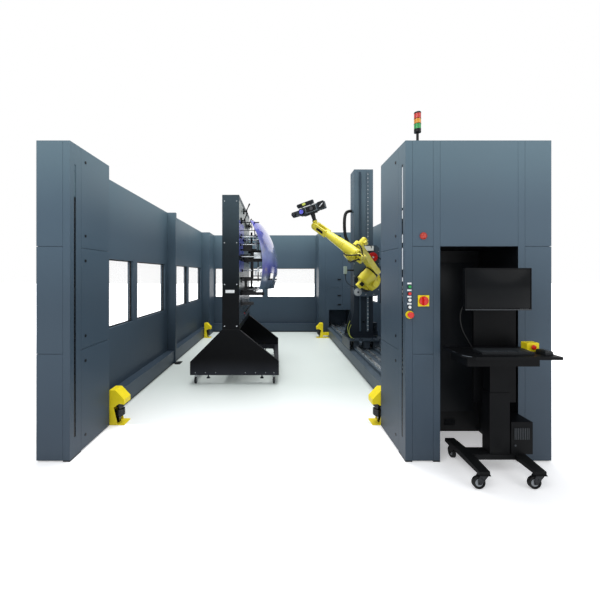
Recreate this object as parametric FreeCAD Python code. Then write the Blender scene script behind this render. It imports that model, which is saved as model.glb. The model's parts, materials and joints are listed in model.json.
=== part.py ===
import FreeCAD, Part
import math
import os

# Robot measuring cell: walls round three sides, a linear axis with a column along the right side, an arm
# that rides up and down the column and carries an optical measuring head, a fixture cart with a clamped
# body panel, and an operator's trolley in the niche of the front cabinet. Millimetres.
# While modelling, X runs from the middle of the cell, Y from its front face to the back, Z from the floor.

V = FreeCAD.Vector

# Cell and sheet-metal work
cell_width = 4750.0
cell_length = 7150.0
sheet = 3.0
cover_thick = 20.0
cover_gap = 4.0
cover_lip = 26.0
floor_gap = 12.0
seam_low = 994.0
seam_high = 1988.0

# Walls: two folded skins to a bay, a hollow beam at the foot, a post between the bays
wall_thick = 88.0
wall_top = 2940.0
window_sill = 1042.0
window_head = 1930.0
window_margin = 124.0
window_edge = 24.0
front_pane_share = 0.472
mullion_width = 136.0
pane_thick = 8.0
bay_length = 2904.0
post_width = 66.0
post_proud = 161.0
tube_wall = 5.0
beam_proud = 137.0
beam_top = 250.0
toe_height = 50.0
toe_recess = 22.0
foot_reach = 100.0
foot_over = 60.0
foot_thick = 12.0
anchor_radius = 9.0
anchor_pitch = 140.0

# Entrance pillar and front cabinet
pillar_width = 310.0
pillar_depth = 715.0
pillar_top = 2965.0
corner_width = 65.0
corner_depth = 175.0
cabinet_width = 1346.0
switch_panel_width = 193.0
frame_strip = 62.0
niche_width = 720.0
niche_depth = 600.0
slot_front = 61.0
slot_width = 31.0
slot_depth = 26.0
slot_low = 193.0
slot_high = 2768.0
curtain_fit = 0.5
curtain_sunk = 3.0
curtain_glass_low = 772.0
curtain_glass_high = 2466.0
curtain_glass_edge = 5.0

# Quarter-turn locks and lifting lugs
lock_radius = 14.0
lock_proud = 4.0
lock_slot = 4.0
lock_inset = 122.0
lock_from_edge = 73.0
lug_width = 60.0
lug_height = 42.0
lug_thick = 10.0
lug_hole = 11.0

# Rear pillar and rear cabinet
rear_depth = 795.0
rear_cabinet_width = 1327.0
rear_strip = 200.0
rear_cover_width = 472.0
rear_cover_seam = 1368.0
rear_lock_from_edge = 43.0
mouth_left = 52.0
mouth_width = 627.0
mouth_top = 733.0
mouth_deep = 640.0
mouth_frame = 34.0

# Linear axis
bed_from_cabinet = 254.0
bed_width = 817.0
bed_top = 220.0
bed_start_gap = 0.0
bed_into_cabinet = 545.0
bed_gap = 8.0
ridge_width = 96.0
ridge_height = 45.0
rail_first = 157.0
rail_pitch = 400.0
rail_width = 45.0
rail_height = 35.0
rail_waist = 8.0
rail_run = 0.5
rack_height = 30.0
rack_width = 40.0
carriage_front = 3507.0
carriage_length = 740.0
carriage_left = 7.0
carriage_width = 720.0
carriage_plate = 25.0
carriage_top = 430.0
skirt_thick = 12.0
skirt_clear = 6.0
block_width = 110.0
block_length = 150.0
block_inset = 60.0

# Column and lift
column_width = 392.0
column_depth = 340.0
column_left = 168.0
column_back_of_front = 293.0
column_top = 3914.0
column_wall = 14.0
column_base = 30.0
gusset_reach = 125.0
gusset_height = 540.0
gusset_thick = 20.0
lift_rail_pitch = 156.0
lift_rail_width = 34.0
lift_rail_depth = 30.0
lift_rail_low = 560.0
lift_rail_ends = 60.0
column_slot_width = 28.0
column_slot_low = 3560.0
column_slot_height = 120.0
port_radius = 36.0
port_bore = 20.0
port_height = 750.0
lift_plate_width = 527.0
lift_plate_low = 1289.0
lift_plate_high = 2330.0
lift_plate_thick = 35.0
lift_plate_offset = 26.0
lift_block_depth = 65.0
lift_block_height = 130.0

# Arm: one long plate link on one side of the turret, forearm offset above the elbow
arm_lean = 43.6
upper_angle = 41.7
forearm_angle = -37.7
shoulder_offset = 110.0
shoulder_height = 418.0
upper_length = 789.0
elbow_offset = 100.0
forearm_length = 922.0
turn_gap = 0.5
base_plate_half = 200.0
base_plate_corner = 50.0
base_bolt_side = 165.0
base_bolt_up = 120.0
base_plate_thick = 30.0
base_radius = 165.0
base_height = 150.0
turret_radius = 205.0
turret_height = 118.0
turret_back = 165.0
turret_front = 196.0
turret_cheek = 96.0
turret_block_width = 236.0
turret_shelf = 86.0
turret_edge = 34.0
turret_rib = 12.0
shoulder_motor_start = 150.0
shoulder_motor_length = 135.0
waist_motor_back = 98.0
waist_motor_side = 22.0
waist_motor_length = 128.0
shoulder_radius = 132.0
cheek_gap = 110.0
link_thick = 105.0
link_big = 124.0
link_small = 100.0
link_pocket = 14.0
link_edge = 12.0
motor_radius = 64.0
elbow_radius = 96.0
elbow_back = 150.0
elbow_front = 140.0
hand_motor_radius = 41.0
hand_motor_length = 105.0
forearm_root = 92.0
forearm_taper = 420.0
forearm_tube = 66.0
fork_start = 600.0
fork_gap = 37.0
fork_cheek = 32.0
fork_radius = 62.0
wrist_radius = 58.0
wrist_nose = 100.0
nose_radius = 46.0
nose_start = 70.0
flange_thick = 16.0
flange_pcd = 63.0
flange_hole = 3.3
head_height = 330.0
head_shift = 55.0
tool_tilt = (-0.27, 0.017, 0.962)
bar_tilt = (0.895, -0.36, 0.26)

# Measuring head
head_left = 165.0
head_right = 190.0
head_half_depth = 72.0
head_half_height = 70.0
head_plate_left = 110.0
head_plate_right = 150.0
head_plate_half = 58.0
head_plate_thick = 16.0
camera_reach = 320.0
camera_half_height = 48.0
lens_radius = 33.0
lens_barrel = 55.0
projector_radius = 54.0
projector_barrel = 52.0
lens_sunk = 6.0
aux_length = 320.0
aux_height = 66.0
aux_depth = 84.0
aux_lift = 28.0

# Front controls
button_radius = 14.0
button_proud = 16.0
button_travel = 4.0
button_fit = 0.4
bezel_ring = 4.0
bezel_height = 8.0
button_heights = (1615.0, 1552.0, 1493.0, 1428.0)
stop_height = 1358.0
stop_radius = 29.0
stop_cap = 14.0
stop_proud = 44.0
stop_stem = 11.0
stop_travel = 5.0
stop_collar = 36.0
collar_height = 14.0
switch_height = 1486.0
switch_plate = 102.0
switch_plate_thick = 8.0
knob_radius = 42.0
knob_base = 12.0
knob_grip_width = 20.0
knob_grip_height = 24.0
dome_height = 2084.0
dome_radius = 32.0
dome_proud = 26.0

# Signal tower
tower_from_corner = 154.0
tower_from_front = 100.0
tower_pole = 12.0
tower_radius = 32.0
tower_base_low = 3080.0
tower_base_height = 32.0
tower_lamp = 48.0
tower_cap = 20.0

# Floor scanners under their hoods
hood_depth = 175.0
hood_width = 165.0
hood_top = 400.0
hood_brow = 262.0
hood_wall = 6.0
scanner_radius = 52.0
scanner_low = 92.0
scanner_neck = 34.0
scanner_foot = 10.0
scanner_link = 80.0
scanner_front_stand = 68.0
scanner_rear_stand = 12.0
scanner_right_stand = 168.0
scanner_front_from_pillar = 110.0
scanner_rear_from_front = 281.0

# Fixture cart
cart_front = 2157.0
cart_length = 1983.0
cart_left = -1523.0
cart_width = 1401.0
cart_bottom = 145.0
cart_side_top = 355.0
cart_slant_top = 862.0
cart_plate = 12.0
cart_flange = 60.0
upright_left = 507.0
upright_width = 267.0
cart_top = 2988.0
cart_wall = 6.0
cart_tube = 80.0
cart_panel = 8.0
cart_panel_low = 930.0
cart_panel_sink = 14.0
cart_foot_from_side = 271.0
cart_foot_radius = 32.0
cart_foot_low = 73.0
cart_foot_stem = 9.0
caster_from_side = 79.0
caster_from_end = 95.0

# Casters
cart_wheel_radius = 50.0
trolley_wheel_radius = 51.0
wheel_width = 32.0
wheel_trail = 38.0
wheel_bore = 6.05
axle_radius = 6.0
wheel_side_gap = 2.0
fork_sheet = 4.0
fork_top_gap = 4.0
bearing_radius = 27.0
bearing_gap = 0.4
caster_plate_half = 40.0
caster_plate_thick = 6.0

# Workpiece and its holders
piece_thick = 4.0
piece_from_front = 60.0
piece_length = 1830.0
piece_bottom_z = 1490.0
piece_middle_z = 1900.0
piece_top_z = 2600.0
piece_bottom_out = 560.0
piece_middle_out = 619.0
piece_top_out = 350.0
piece_end_fall = 250.0
holder_rows = (1640.0, 2010.0, 2370.0)
holder_columns = (330.0, 940.0, 1560.0)
holder_radius = 12.0
holder_pad_radius = 26.0
holder_pad_thick = 22.0
holder_flange = 45.0
holder_gap = 0.2
tray_height = 1480.0
tray_width = 250.0
tray_length = 1500.0
tray_thick = 40.0
lever_from_front = 280.0
lever_out = 187.0
lever_height = 1254.0
lever_length = 212.0
lever_radius = 9.0
lever_pin = 8.0
lever_pin_bore = 8.05
lever_angle = 231.0

# Operator's trolley
trolley_from_niche = 109.0
trolley_width = 538.0
trolley_beam_front = -190.0
trolley_beam_back = -65.0
trolley_leg_front = -410.0
trolley_leg_back = 130.0
trolley_leg_width = 88.0
trolley_bottom = 126.0
trolley_base = 45.0
trolley_swivel_front = -376.0
trolley_swivel_shift = 8.0
trolley_axle_back = 85.0
mast_inset = 232.0
mast_width = 175.0
mast_depth = 105.0
mast_top = 700.0
mast_wall = 5.0
mast_gap = 0.5
mast_inner_step = 12.0
mast_overlap = 320.0
computer_gap = 9.0
computer_width = 186.0
computer_depth = 240.0
computer_height = 278.0
table_overhang = 94.0
table_width = 759.0
table_front = -417.0
table_back = -29.0
table_top = 1070.0
table_thick = 24.0
table_corner = 62.0
tray_box_inset = 37.0
tray_box_width = 592.0
tray_box_height = 71.0
tray_box_front = -345.0
back_panel_inset = 276.0
back_panel_width = 386.0
back_panel_low = 560.0
back_panel_high = 1640.0
back_panel_thick = 22.0
screen_inset = 385.0
screen_width = 572.0
screen_height = 364.0
screen_low = 1420.0
screen_thick = 38.0
screen_front = -205.0
screen_lip = 9.0
screen_sunk = 3.0
tilt_radius = 14.0
tilt_bore = 14.05
tilt_width = 60.0
keyboard_inset = 165.0
keyboard_width = 430.0
keyboard_front = -335.0
keyboard_depth = 135.0
keyboard_height = 18.0
mouse_inset = 666.0
mouse_width = 64.0
mouse_front = -356.0
mouse_length = 102.0
mouse_height = 34.0
stop_box_inset = 617.0
stop_box_width = 104.0
stop_box_depth = 70.0
stop_box_height = 74.0
stop_box_front = -222.0
box_button_radius = 20.0
box_button_proud = 18.0
box_button_stem = 8.0
box_button_sink = 12.0
box_button_fit = 0.05

# Fittings on the lift plate, from the column's left face and the plate's front
reel_from_column = 329.0
reel_height = 2082.0
reel_radius = 95.0
reel_thick = 34.0
reel_stand = 60.0
terminal_from_column = 149.0
terminal_width = 195.0
terminal_depth = 90.0
terminal_low = 2215.0
clamp_from_column = -193.0
clamp_width = 170.0
clamp_depth = 70.0
clamp_low = 2235.0
inlet_from_column = 49.0
inlet_height = 1376.0
inlet_radius = 42.0
inlet_bore = 24.0
inlet_thick = 46.0
handle_width = 98.0
handle_height = 34.0
handle_proud = 12.0
handle_heights = (884.0, 1140.0, 1596.0, 2835.0)

# Cable and hose routes, hand-placed round the arm, from the column's left face and the plate's front
cable_end_gap = 0.5
hose_radius = 29.0
hose_outlet = 24.0
cable_radius = 11.0
hose_run = ((-25, 217.5, 3070), (-85, 217.5, 3070), (-155, 182.5, 3030), (-196, 117.5, 2930),
            (-215, 57.5, 2790), (-219, 17.5, 2630), (-201, -7.5, 2480), (-151, -39.5, 2375),
            (-151, -39.5, 2296))
loop_run = ((-56, -39.5, 2296), (-56, -39.5, 2350), (-16, -51.5, 2410), (59, -62.5, 2436),
            (139, -57.5, 2418), (189, -47.5, 2366), (189, -47.5, 2310))
lead_run = ((411, -30.5, 2082), (464, -30.5, 2082), (507, -42.5, 2046), (521, -62.5, 1975),
            (511, -79.5, 1890), (484, -81.5, 1805), (435, -77.5, 1751), (387.5, -77.5, 1723.6))

# Worked-out places
half_width = cell_width / 2
wall_inner = half_width - wall_thick
pillar_face = -half_width + pillar_width
cabinet_face = half_width - cabinet_width
rear_front = cell_length - rear_depth
rear_post = rear_front - bay_length
front_post = rear_post - post_width
panel_end = cabinet_face + corner_width + switch_panel_width
niche_left = panel_end + frame_strip
niche_right = niche_left + niche_width
right_panel_left = niche_right + frame_strip
niche_top = seam_high
rear_cabinet_left = half_width - rear_cabinet_width
bed_left = cabinet_face + bed_from_cabinet
bed_right = bed_left + bed_width
bed_start = pillar_depth + bed_start_gap
bed_end = rear_front + bed_into_cabinet
rail_places = (bed_left + rail_first, bed_left + rail_first + rail_pitch)
rail_low = bed_top + ridge_height
rail_high = rail_low + rail_height
column_x = bed_left + column_left
column_middle = column_x + column_width / 2
column_front = carriage_front + column_back_of_front
lift_front = column_front - lift_rail_depth - lift_block_depth + rail_height / 2 - lift_plate_thick
hose_route, loop_route, lead_route = [[(column_x + x, lift_front + y, z) for x, y, z in run]
                                      for run in (hose_run, loop_run, lead_run)]
cart_right = cart_left + cart_width
upright_x = cart_left + upright_left
upright_right = upright_x + upright_width
trolley_left = niche_left + trolley_from_niche
mast_left = trolley_left + mast_inset
computer_left = mast_left + mast_width + computer_gap
table_left = trolley_left - table_overhang
tray_box_left = table_left + tray_box_inset
back_panel_left = table_left + back_panel_inset
screen_centre = table_left + screen_inset
keyboard_left = table_left + keyboard_inset
mouse_left = table_left + mouse_inset
stop_box_left = table_left + stop_box_inset
trolley_reach = -table_front
place_y = -(cell_length - trolley_reach) / 2


def box(x0, x1, y0, y1, z0, z1):
    return Part.makeBox(x1 - x0, y1 - y0, z1 - z0, V(x0, y0, z0))


def rod(start, along, radius, length):
    return Part.makeCylinder(radius, length, V(*start), V(*along))


def prism(points, along):
    corners = [V(*point) for point in points]
    return Part.Face(Part.makePolygon(corners + corners[:1])).extrude(V(*along))


def fused(first, *others):
    return first.multiFuse(list(others)).removeSplitter()


def placement(origin, x_way, z_way):
    z_axis = V(*z_way).normalize()
    y_axis = z_axis.cross(V(*x_way)).normalize()
    x_axis = y_axis.cross(z_axis)
    return FreeCAD.Placement(FreeCAD.Matrix(x_axis.x, y_axis.x, z_axis.x, origin[0],
                                            x_axis.y, y_axis.y, z_axis.y, origin[1],
                                            x_axis.z, y_axis.z, z_axis.z, origin[2], 0, 0, 0, 1))


def placed(shape, where):
    moved = shape.copy()
    moved.Placement = where.multiply(moved.Placement)
    return moved


def mirrored(shape):
    return shape.mirror(V(0, 0, 0), V(1, 0, 0))


def inward_box(face_x, inward, near, far, y0, y1, z0, z1):
    # A box measured from a side face into the body behind it; inward is +1 or -1 along X
    low, high = sorted((face_x + inward * near, face_x + inward * far))
    return box(low, high, y0, y1, z0, z1)


def ring(start, along, outer, inner, length):
    return rod(start, along, outer, length).cut(rod(start, along, inner, length))


def cable(points, radius):
    # Straight runs joined by tangent arcs, each as large as its two runs allow
    corners = [V(*point) for point in points]
    edges = []
    at = corners[0]
    radii = []
    for before, corner, after in zip(corners, corners[1:], corners[2:]):
        back = (before - corner).normalize()
        ahead = (after - corner).normalize()
        half_turn = (math.pi - back.getAngle(ahead)) / 2
        cut_back = 0.45 * min((before - corner).Length, (after - corner).Length)
        bend = cut_back / math.tan(half_turn)
        middle = corner + (back + ahead).normalize() * (bend / math.cos(half_turn) - bend)
        start = corner + back * cut_back
        end = corner + ahead * cut_back
        edges.append(Part.LineSegment(at, start).toShape())
        edges.append(Part.Arc(start, middle, end).toShape())
        at = end
        radii.append(round(bend))
    edges.append(Part.LineSegment(at, corners[-1]).toShape())
    path = Part.Wire(edges)
    profile = Part.Wire(Part.makeCircle(radius, corners[0], corners[1] - corners[0]))
    solid = path.makePipeShell([profile], True, False)
    ratio = solid.Volume / (math.pi * radius ** 2 * path.Length)
    print("cable length", round(path.Length), "bend radii", radii, "volume ratio", round(ratio, 4))
    return solid


# Walls, worked out along X with the outside towards +Y, then turned into place

def wall_skin(x0, x1, y_skin, y_open, windows):
    # One folded sheet, open on its hidden side, with a folded edge round each window
    low, high = sorted((y_skin, y_open))
    inside = sorted((y_skin + math.copysign(sheet, y_open - y_skin), y_open))
    slab = box(x0, x1, low, high, 0, wall_top)
    pocket = box(x0 + sheet, x1 - sheet, inside[0], inside[1], sheet, wall_top - sheet)
    holes = [box(a, b, low, high, window_sill, window_head) for a, b in windows]
    frames = [box(a - sheet, b + sheet, low, high, window_sill - sheet, window_head + sheet) for a, b in windows]
    return slab.cut(holes + [pocket.cut(frames)])


def wall_bay(x0, x1, windows):
    middle = wall_thick / 2
    skins = [wall_skin(x0, x1, 0, middle, windows), wall_skin(x0, x1, wall_thick, middle, windows)]
    low, high = middle - pane_thick / 2, middle + pane_thick / 2
    panes = [box(a, b, low, high, window_sill, window_head) for a, b in windows]
    return skins, panes


def two_windows(start, length, near, far, share):
    room = length - near - far - mullion_width
    first_end = start + near + room * share
    return [(start + near, first_end), (first_end + mullion_width, start + length - far)]


def foot_beam(x0, x1):
    toe = toe_recess - beam_proud
    outline = ((x0, 0, 0), (x0, toe, 0), (x0, toe, toe_height), (x0, -beam_proud, toe_height),
               (x0, -beam_proud, beam_top), (x0, 0, beam_top))
    hollow = box(x0, x1, toe + tube_wall, -tube_wall, tube_wall, beam_top - tube_wall)
    return prism(outline, (x1 - x0, 0, 0)).cut(hollow)


def wall_post(x0):
    x1 = x0 + post_width
    tube = box(x0, x1, -post_proud, wall_thick, 0, wall_top)
    hollow = box(x0 + tube_wall, x1 - tube_wall, tube_wall - post_proud, wall_thick - tube_wall,
                 0, wall_top - tube_wall)
    plate = box(x0 - foot_over, x1 + foot_over, -post_proud - foot_reach, -post_proud, 0, foot_thick)
    middle = (x0 + x1) / 2
    holes = [rod((middle + side * anchor_pitch / 2, -post_proud - foot_reach / 2, 0), (0, 0, 1), anchor_radius,
                 foot_thick) for side in (-1, 1)]
    return [tube.cut(hollow), plate.cut(holes)]


def side_wall():
    # Left wall, as lists of skins, panes and framing in place, the post's foot plate last
    turn = FreeCAD.Placement(V(-wall_inner, 0, 0), FreeCAD.Rotation(V(0, 0, 1), 90))
    front_windows = two_windows(pillar_depth, front_post - pillar_depth, window_edge, window_margin,
                                front_pane_share)
    rear_windows = two_windows(rear_post, bay_length, window_margin, window_margin, 0.5)
    front_skins, front_panes = wall_bay(pillar_depth, front_post, front_windows)
    rear_skins, rear_panes = wall_bay(rear_post, rear_front, rear_windows)
    framing = [foot_beam(pillar_depth, front_post), foot_beam(rear_post, rear_front)] + wall_post(front_post)
    groups = (front_skins + rear_skins, front_panes + rear_panes, framing)
    return [[placed(shape, turn) for shape in group] for group in groups]


def back_wall():
    turn = FreeCAD.Placement(V(0, cell_length - wall_thick, 0), FreeCAD.Rotation())
    span = rear_cabinet_left - pillar_face
    windows = two_windows(pillar_face, span, window_edge, window_edge, 0.5)
    skins, panes = wall_bay(pillar_face, rear_cabinet_left, windows)
    groups = (skins, panes, [foot_beam(pillar_face, rear_cabinet_left)])
    return [[placed(shape, turn) for shape in group] for group in groups]


# Pillars and cabinets

def third_rows(top):
    half = cover_gap / 2
    return [(floor_gap, seam_low - half), (seam_low + half, seam_high - half), (seam_high + half, top)]


def front_opening(x0, x1, y, z0, z1):
    # The hatch behind a front cover, smaller than the cover all round
    return box(x0 + cover_lip, x1 - cover_lip, y, y + cover_thick + 2 * sheet, z0 + cover_lip, z1 - cover_lip)


def side_openings(face_x, inward):
    y0, y1 = corner_depth + cover_lip, pillar_depth - cover_lip
    return [inward_box(face_x, inward, 0, cover_thick + 2 * sheet, y0, y1, z0 + cover_lip, z1 - cover_lip)
            for z0, z1 in third_rows(pillar_top)]


def corner_post(face_x, inward):
    # Hollow post with the slot for the light curtain in the face that looks across the entrance
    post = inward_box(face_x, inward, 0, corner_width, 0, corner_depth, 0, pillar_top)
    hollow = inward_box(face_x, inward, slot_depth + sheet, corner_width - sheet, sheet, corner_depth - sheet,
                        0, pillar_top - sheet)
    slot = inward_box(face_x, inward, 0, slot_depth, slot_front, slot_front + slot_width, slot_low, slot_high)
    return post.cut([hollow, slot])


def light_curtain(face_x, inward):
    y0, y1 = slot_front + curtain_fit, slot_front + slot_width - curtain_fit
    bar = inward_box(face_x, inward, curtain_sunk, slot_depth, y0, y1, slot_low + curtain_fit,
                     slot_high - curtain_fit)
    window = inward_box(face_x, inward, 0, 2 * curtain_sunk, y0 + curtain_glass_edge, y1 - curtain_glass_edge,
                        curtain_glass_low, curtain_glass_high)
    return bar.cut(window)


def lifting_lug(x, y, z):
    plate = box(x - lug_width / 2, x + lug_width / 2, y, y + lug_thick, z, z + lug_height)
    return plate.cut(rod((x, y, z + lug_height * 0.55), (0, 1, 0), lug_hole, lug_thick))


def entrance_pillar():
    x0, x1 = -half_width, pillar_face
    body = box(x0, x1, 0, pillar_depth, 0, pillar_top)
    corner = box(x1 - corner_width, x1, 0, corner_depth, 0, pillar_top)
    front_cover = box(x0, x1 - corner_width, 0, cover_thick, 0, pillar_top)
    side_cover = box(x1 - cover_thick, x1, corner_depth, pillar_depth, 0, pillar_top)
    narrow = box(x0 + sheet, x1 - corner_width - sheet, cover_thick + sheet, pillar_depth - sheet,
                 0, pillar_top - sheet)
    wide = box(x0 + sheet, x1 - cover_thick - sheet, corner_depth + sheet, pillar_depth - sheet,
               0, pillar_top - sheet)
    hatches = [front_opening(x0, x1 - corner_width, 0, z0, z1) for z0, z1 in third_rows(pillar_top)]
    shell = body.cut([corner, front_cover, side_cover, narrow, wide] + hatches + side_openings(x1, -1))
    lug = lifting_lug(x1 - corner_width - lug_width, corner_depth, pillar_top)
    return [fused(shell, lug), corner_post(x1, -1)]


def front_cabinet():
    x0, x1 = cabinet_face, half_width
    edge = x0 + corner_width
    body = box(x0, x1, 0, pillar_depth, 0, pillar_top)
    cuts = [box(x0, edge, 0, corner_depth, 0, pillar_top),
            box(x0, x0 + cover_thick, corner_depth, pillar_depth, 0, pillar_top),
            box(edge, panel_end, 0, cover_thick, 0, pillar_top),
            box(niche_left, niche_right, 0, cover_thick, 0, pillar_top),
            box(right_panel_left, x1, 0, cover_thick, 0, pillar_top),
            box(niche_left, niche_right, 0, niche_depth, 0, niche_top)]
    y0, y1 = cover_thick + sheet, pillar_depth - sheet
    high = pillar_top - sheet
    hollows = [box(edge + sheet, niche_left - sheet, y0, y1, 0, high),
               box(x0 + cover_thick + sheet, niche_left - sheet, corner_depth + sheet, y1, 0, high),
               box(niche_left, niche_right, y0, y1, niche_top + sheet, high),
               box(niche_right + sheet, x1 - sheet, y0, y1, 0, high),
               box(niche_left, niche_right, niche_depth + sheet, y1, 0, niche_top)]
    hatches = [front_opening(edge, panel_end, 0, z0, z1) for z0, z1 in third_rows(pillar_top)]
    hatches += [front_opening(niche_left, niche_right, 0, seam_high, pillar_top)]
    hatches += [front_opening(right_panel_left, x1, 0, z0, z1)
                for z0, z1 in ((floor_gap, seam_high), (seam_high, pillar_top))]
    shell = body.cut(cuts + hollows + hatches + side_openings(x0, 1))
    lug = lifting_lug(edge + lug_width, corner_depth, pillar_top)
    return [fused(shell, lug), corner_post(x0, 1)]


def cover_plates():
    # Every flat cover, seated in its rebate
    half = cover_gap / 2
    covers = []
    for z0, z1 in third_rows(pillar_top):
        covers.append(box(-half_width, pillar_face - corner_width - half, 0, cover_thick, z0, z1))
        covers.append(box(cabinet_face + corner_width + half, panel_end - half, 0, cover_thick, z0, z1))
        for face_x, inward in ((pillar_face, -1), (cabinet_face, 1)):
            covers.append(inward_box(face_x, inward, 0, cover_thick, corner_depth + half, pillar_depth, z0, z1))
    covers.append(box(niche_left + half, niche_right - half, 0, cover_thick, seam_high + half, pillar_top))
    for z0, z1 in ((floor_gap, seam_high - half), (seam_high + half, pillar_top)):
        covers.append(box(right_panel_left + half, half_width, 0, cover_thick, z0, z1))
    for x0, x1 in rear_cover_columns():
        for z0, z1 in rear_cover_rows():
            covers.append(box(x0 + half, x1 - half, rear_front, rear_front + cover_thick, z0, z1))
    return covers


def rear_cover_columns():
    first = rear_cabinet_left + rear_strip
    return ((first, first + rear_cover_width), (first + rear_cover_width, wall_inner - post_proud))


def rear_cover_rows():
    half = cover_gap / 2
    return ((mouth_top + mouth_frame, rear_cover_seam - half), (rear_cover_seam + half, wall_top - half))


def rear_pillar():
    x0, x1 = -half_width, pillar_face
    body = box(x0, x1, rear_front, cell_length, 0, wall_top)
    hollow = box(x0 + sheet, x1 - sheet, rear_front + sheet, cell_length - sheet, 0, wall_top - sheet)
    return body.cut(hollow)


def rear_cabinet():
    x0, x1 = rear_cabinet_left, half_width
    body = box(x0, x1, rear_front, cell_length, 0, wall_top)
    cover_back = rear_front + cover_thick
    columns = rear_cover_columns()
    rebate = box(columns[0][0], columns[1][1], rear_front, cover_back, mouth_top + mouth_frame, wall_top)
    hatches = [front_opening(a, b, rear_front, low, high) for a, b in columns for low, high in rear_cover_rows()]
    hollow = box(x0 + sheet, x1 - sheet, cover_back + sheet, cell_length - sheet, mouth_top + sheet,
                 wall_top - sheet)
    tunnel = box(bed_left - bed_gap, bed_right + bed_gap, rear_front, bed_end + bed_gap, 0, bed_top + bed_gap)
    mouth_x = bed_left + mouth_left
    mouth = box(mouth_x, mouth_x + mouth_width, rear_front, rear_front + mouth_deep, 0, mouth_top)
    return body.cut([rebate, hollow, tunnel, mouth] + hatches)


def quarter_turn(x, y, z, along):
    # Round lock head with its key slot; along points out of the cover
    outward = V(*along)
    head = rod((x, y, z), along, lock_radius, lock_proud)
    reach = lock_radius
    slot = Part.makeBox(2 * reach, 2 * reach, 2 * reach, V(-reach, -lock_slot / 2, lock_proud / 2))
    slot = slot.common(Part.makeBox(4 * reach, lock_slot, 2 * reach, V(-2 * reach, -lock_slot / 2, 0)))
    return head.cut(placed(slot, placement((x, y, z), (0, 0, 1), tuple(outward))))


def pull_handle(x, z):
    # Open finger cup on a hatch of the rear cabinet
    wide, high = handle_width / 2, handle_height / 2
    cup = box(x - wide, x + wide, rear_front - handle_proud, rear_front, z - high, z + high)
    return cup.cut(box(x - wide + 5, x + wide - 5, rear_front - handle_proud, rear_front - 3, z - high + 5,
                       z + high - 5))


def locks_and_bezels():
    pieces = []
    y = corner_depth + lock_from_edge
    for z0, z1 in third_rows(pillar_top):
        for z in (z0 + lock_inset, z1 - lock_inset):
            pieces.append(quarter_turn(pillar_face, y, z, (1, 0, 0)))
            pieces.append(quarter_turn(cabinet_face, y, z, (-1, 0, 0)))
    x = rear_cover_columns()[0][1] - rear_lock_from_edge
    pieces += [pull_handle(x - handle_width / 2, z) for z in handle_heights]
    inner = button_radius + button_fit
    for z in button_heights:
        pieces.append(ring((button_x, 0, z), (0, -1, 0), inner + bezel_ring, inner, bezel_height))
    return pieces


button_x = cabinet_face + corner_width / 2 + 4
switch_x = cabinet_face + corner_width + switch_panel_width / 2 + 3


def push_button(z):
    travel_gap = button_travel + 1
    cap = rod((button_x, -travel_gap, z), (0, -1, 0), button_radius, button_proud - travel_gap)
    return [cap.makeChamfer(1.5, [cap.Edges[0]])]


def mushroom(x, face_y, z, radius, cap, proud, stem, rest_gap):
    # Red mushroom on its stem, which stops short of the face behind it by the travel
    back = face_y - proud + cap
    head = rod((x, back, z), (0, -1, 0), radius, cap)
    head = head.makeChamfer(cap * 0.35, [edge for edge in head.Edges
                                         if edge.Closed and abs(edge.CenterOfMass.y - back + cap) < 0.01])
    return fused(head, rod((x, face_y - rest_gap, z), (0, -1, 0), stem, proud - cap - rest_gap))


def yellow_plates():
    half = switch_plate / 2
    plate = box(switch_x - half, switch_x + half, -switch_plate_thick, 0, switch_height - half,
                switch_height + half)
    collar = ring((button_x, 0, stop_height), (0, -1, 0), stop_collar, stop_stem + button_fit, collar_height)
    return [plate, collar]


def switch_knob():
    y = -switch_plate_thick - turn_gap
    disc = rod((switch_x, y, switch_height), (0, -1, 0), knob_radius, knob_base)
    grip = box(switch_x - knob_grip_width / 2, switch_x + knob_grip_width / 2, y - knob_base - knob_grip_height,
               y - knob_base, switch_height - knob_radius * 0.9, switch_height + knob_radius * 0.9)
    return fused(disc, grip)


def warning_dome():
    start = (switch_x, 0, dome_height)
    base = rod(start, (0, -1, 0), dome_radius, dome_proud * 0.4)
    ball = Part.makeSphere(dome_radius, V(switch_x, 0, dome_height))
    squeeze = FreeCAD.Matrix()
    squeeze.scale(1, dome_proud / dome_radius, 1)
    return fused(base, ball.transformGeometry(squeeze).common(
        box(switch_x - dome_radius, switch_x + dome_radius, -dome_proud, 0, dome_height - dome_radius,
            dome_height + dome_radius)))


def signal_tower():
    x, y = cabinet_face + tower_from_corner, tower_from_front
    pole = rod((x, y, pillar_top), (0, 0, 1), tower_pole, tower_base_low - pillar_top)
    foot = rod((x, y, pillar_top), (0, 0, 1), tower_radius, 8)
    base = rod((x, y, tower_base_low), (0, 0, 1), tower_radius, tower_base_height)
    lamp_low = tower_base_low + tower_base_height
    lamps = [rod((x, y, lamp_low + turn * tower_lamp), (0, 0, 1), tower_radius, tower_lamp) for turn in range(3)]
    cap = rod((x, y, lamp_low + 3 * tower_lamp), (0, 0, 1), tower_radius, tower_cap)
    cap = cap.makeChamfer(6, [edge for edge in cap.Edges if edge.CenterOfMass.z > cap.BoundBox.ZMax - 0.01])
    return [fused(foot, pole, base), cap], lamps


# Floor scanners: hood on a stand from the beam, scanner head hung under the brow

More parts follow.
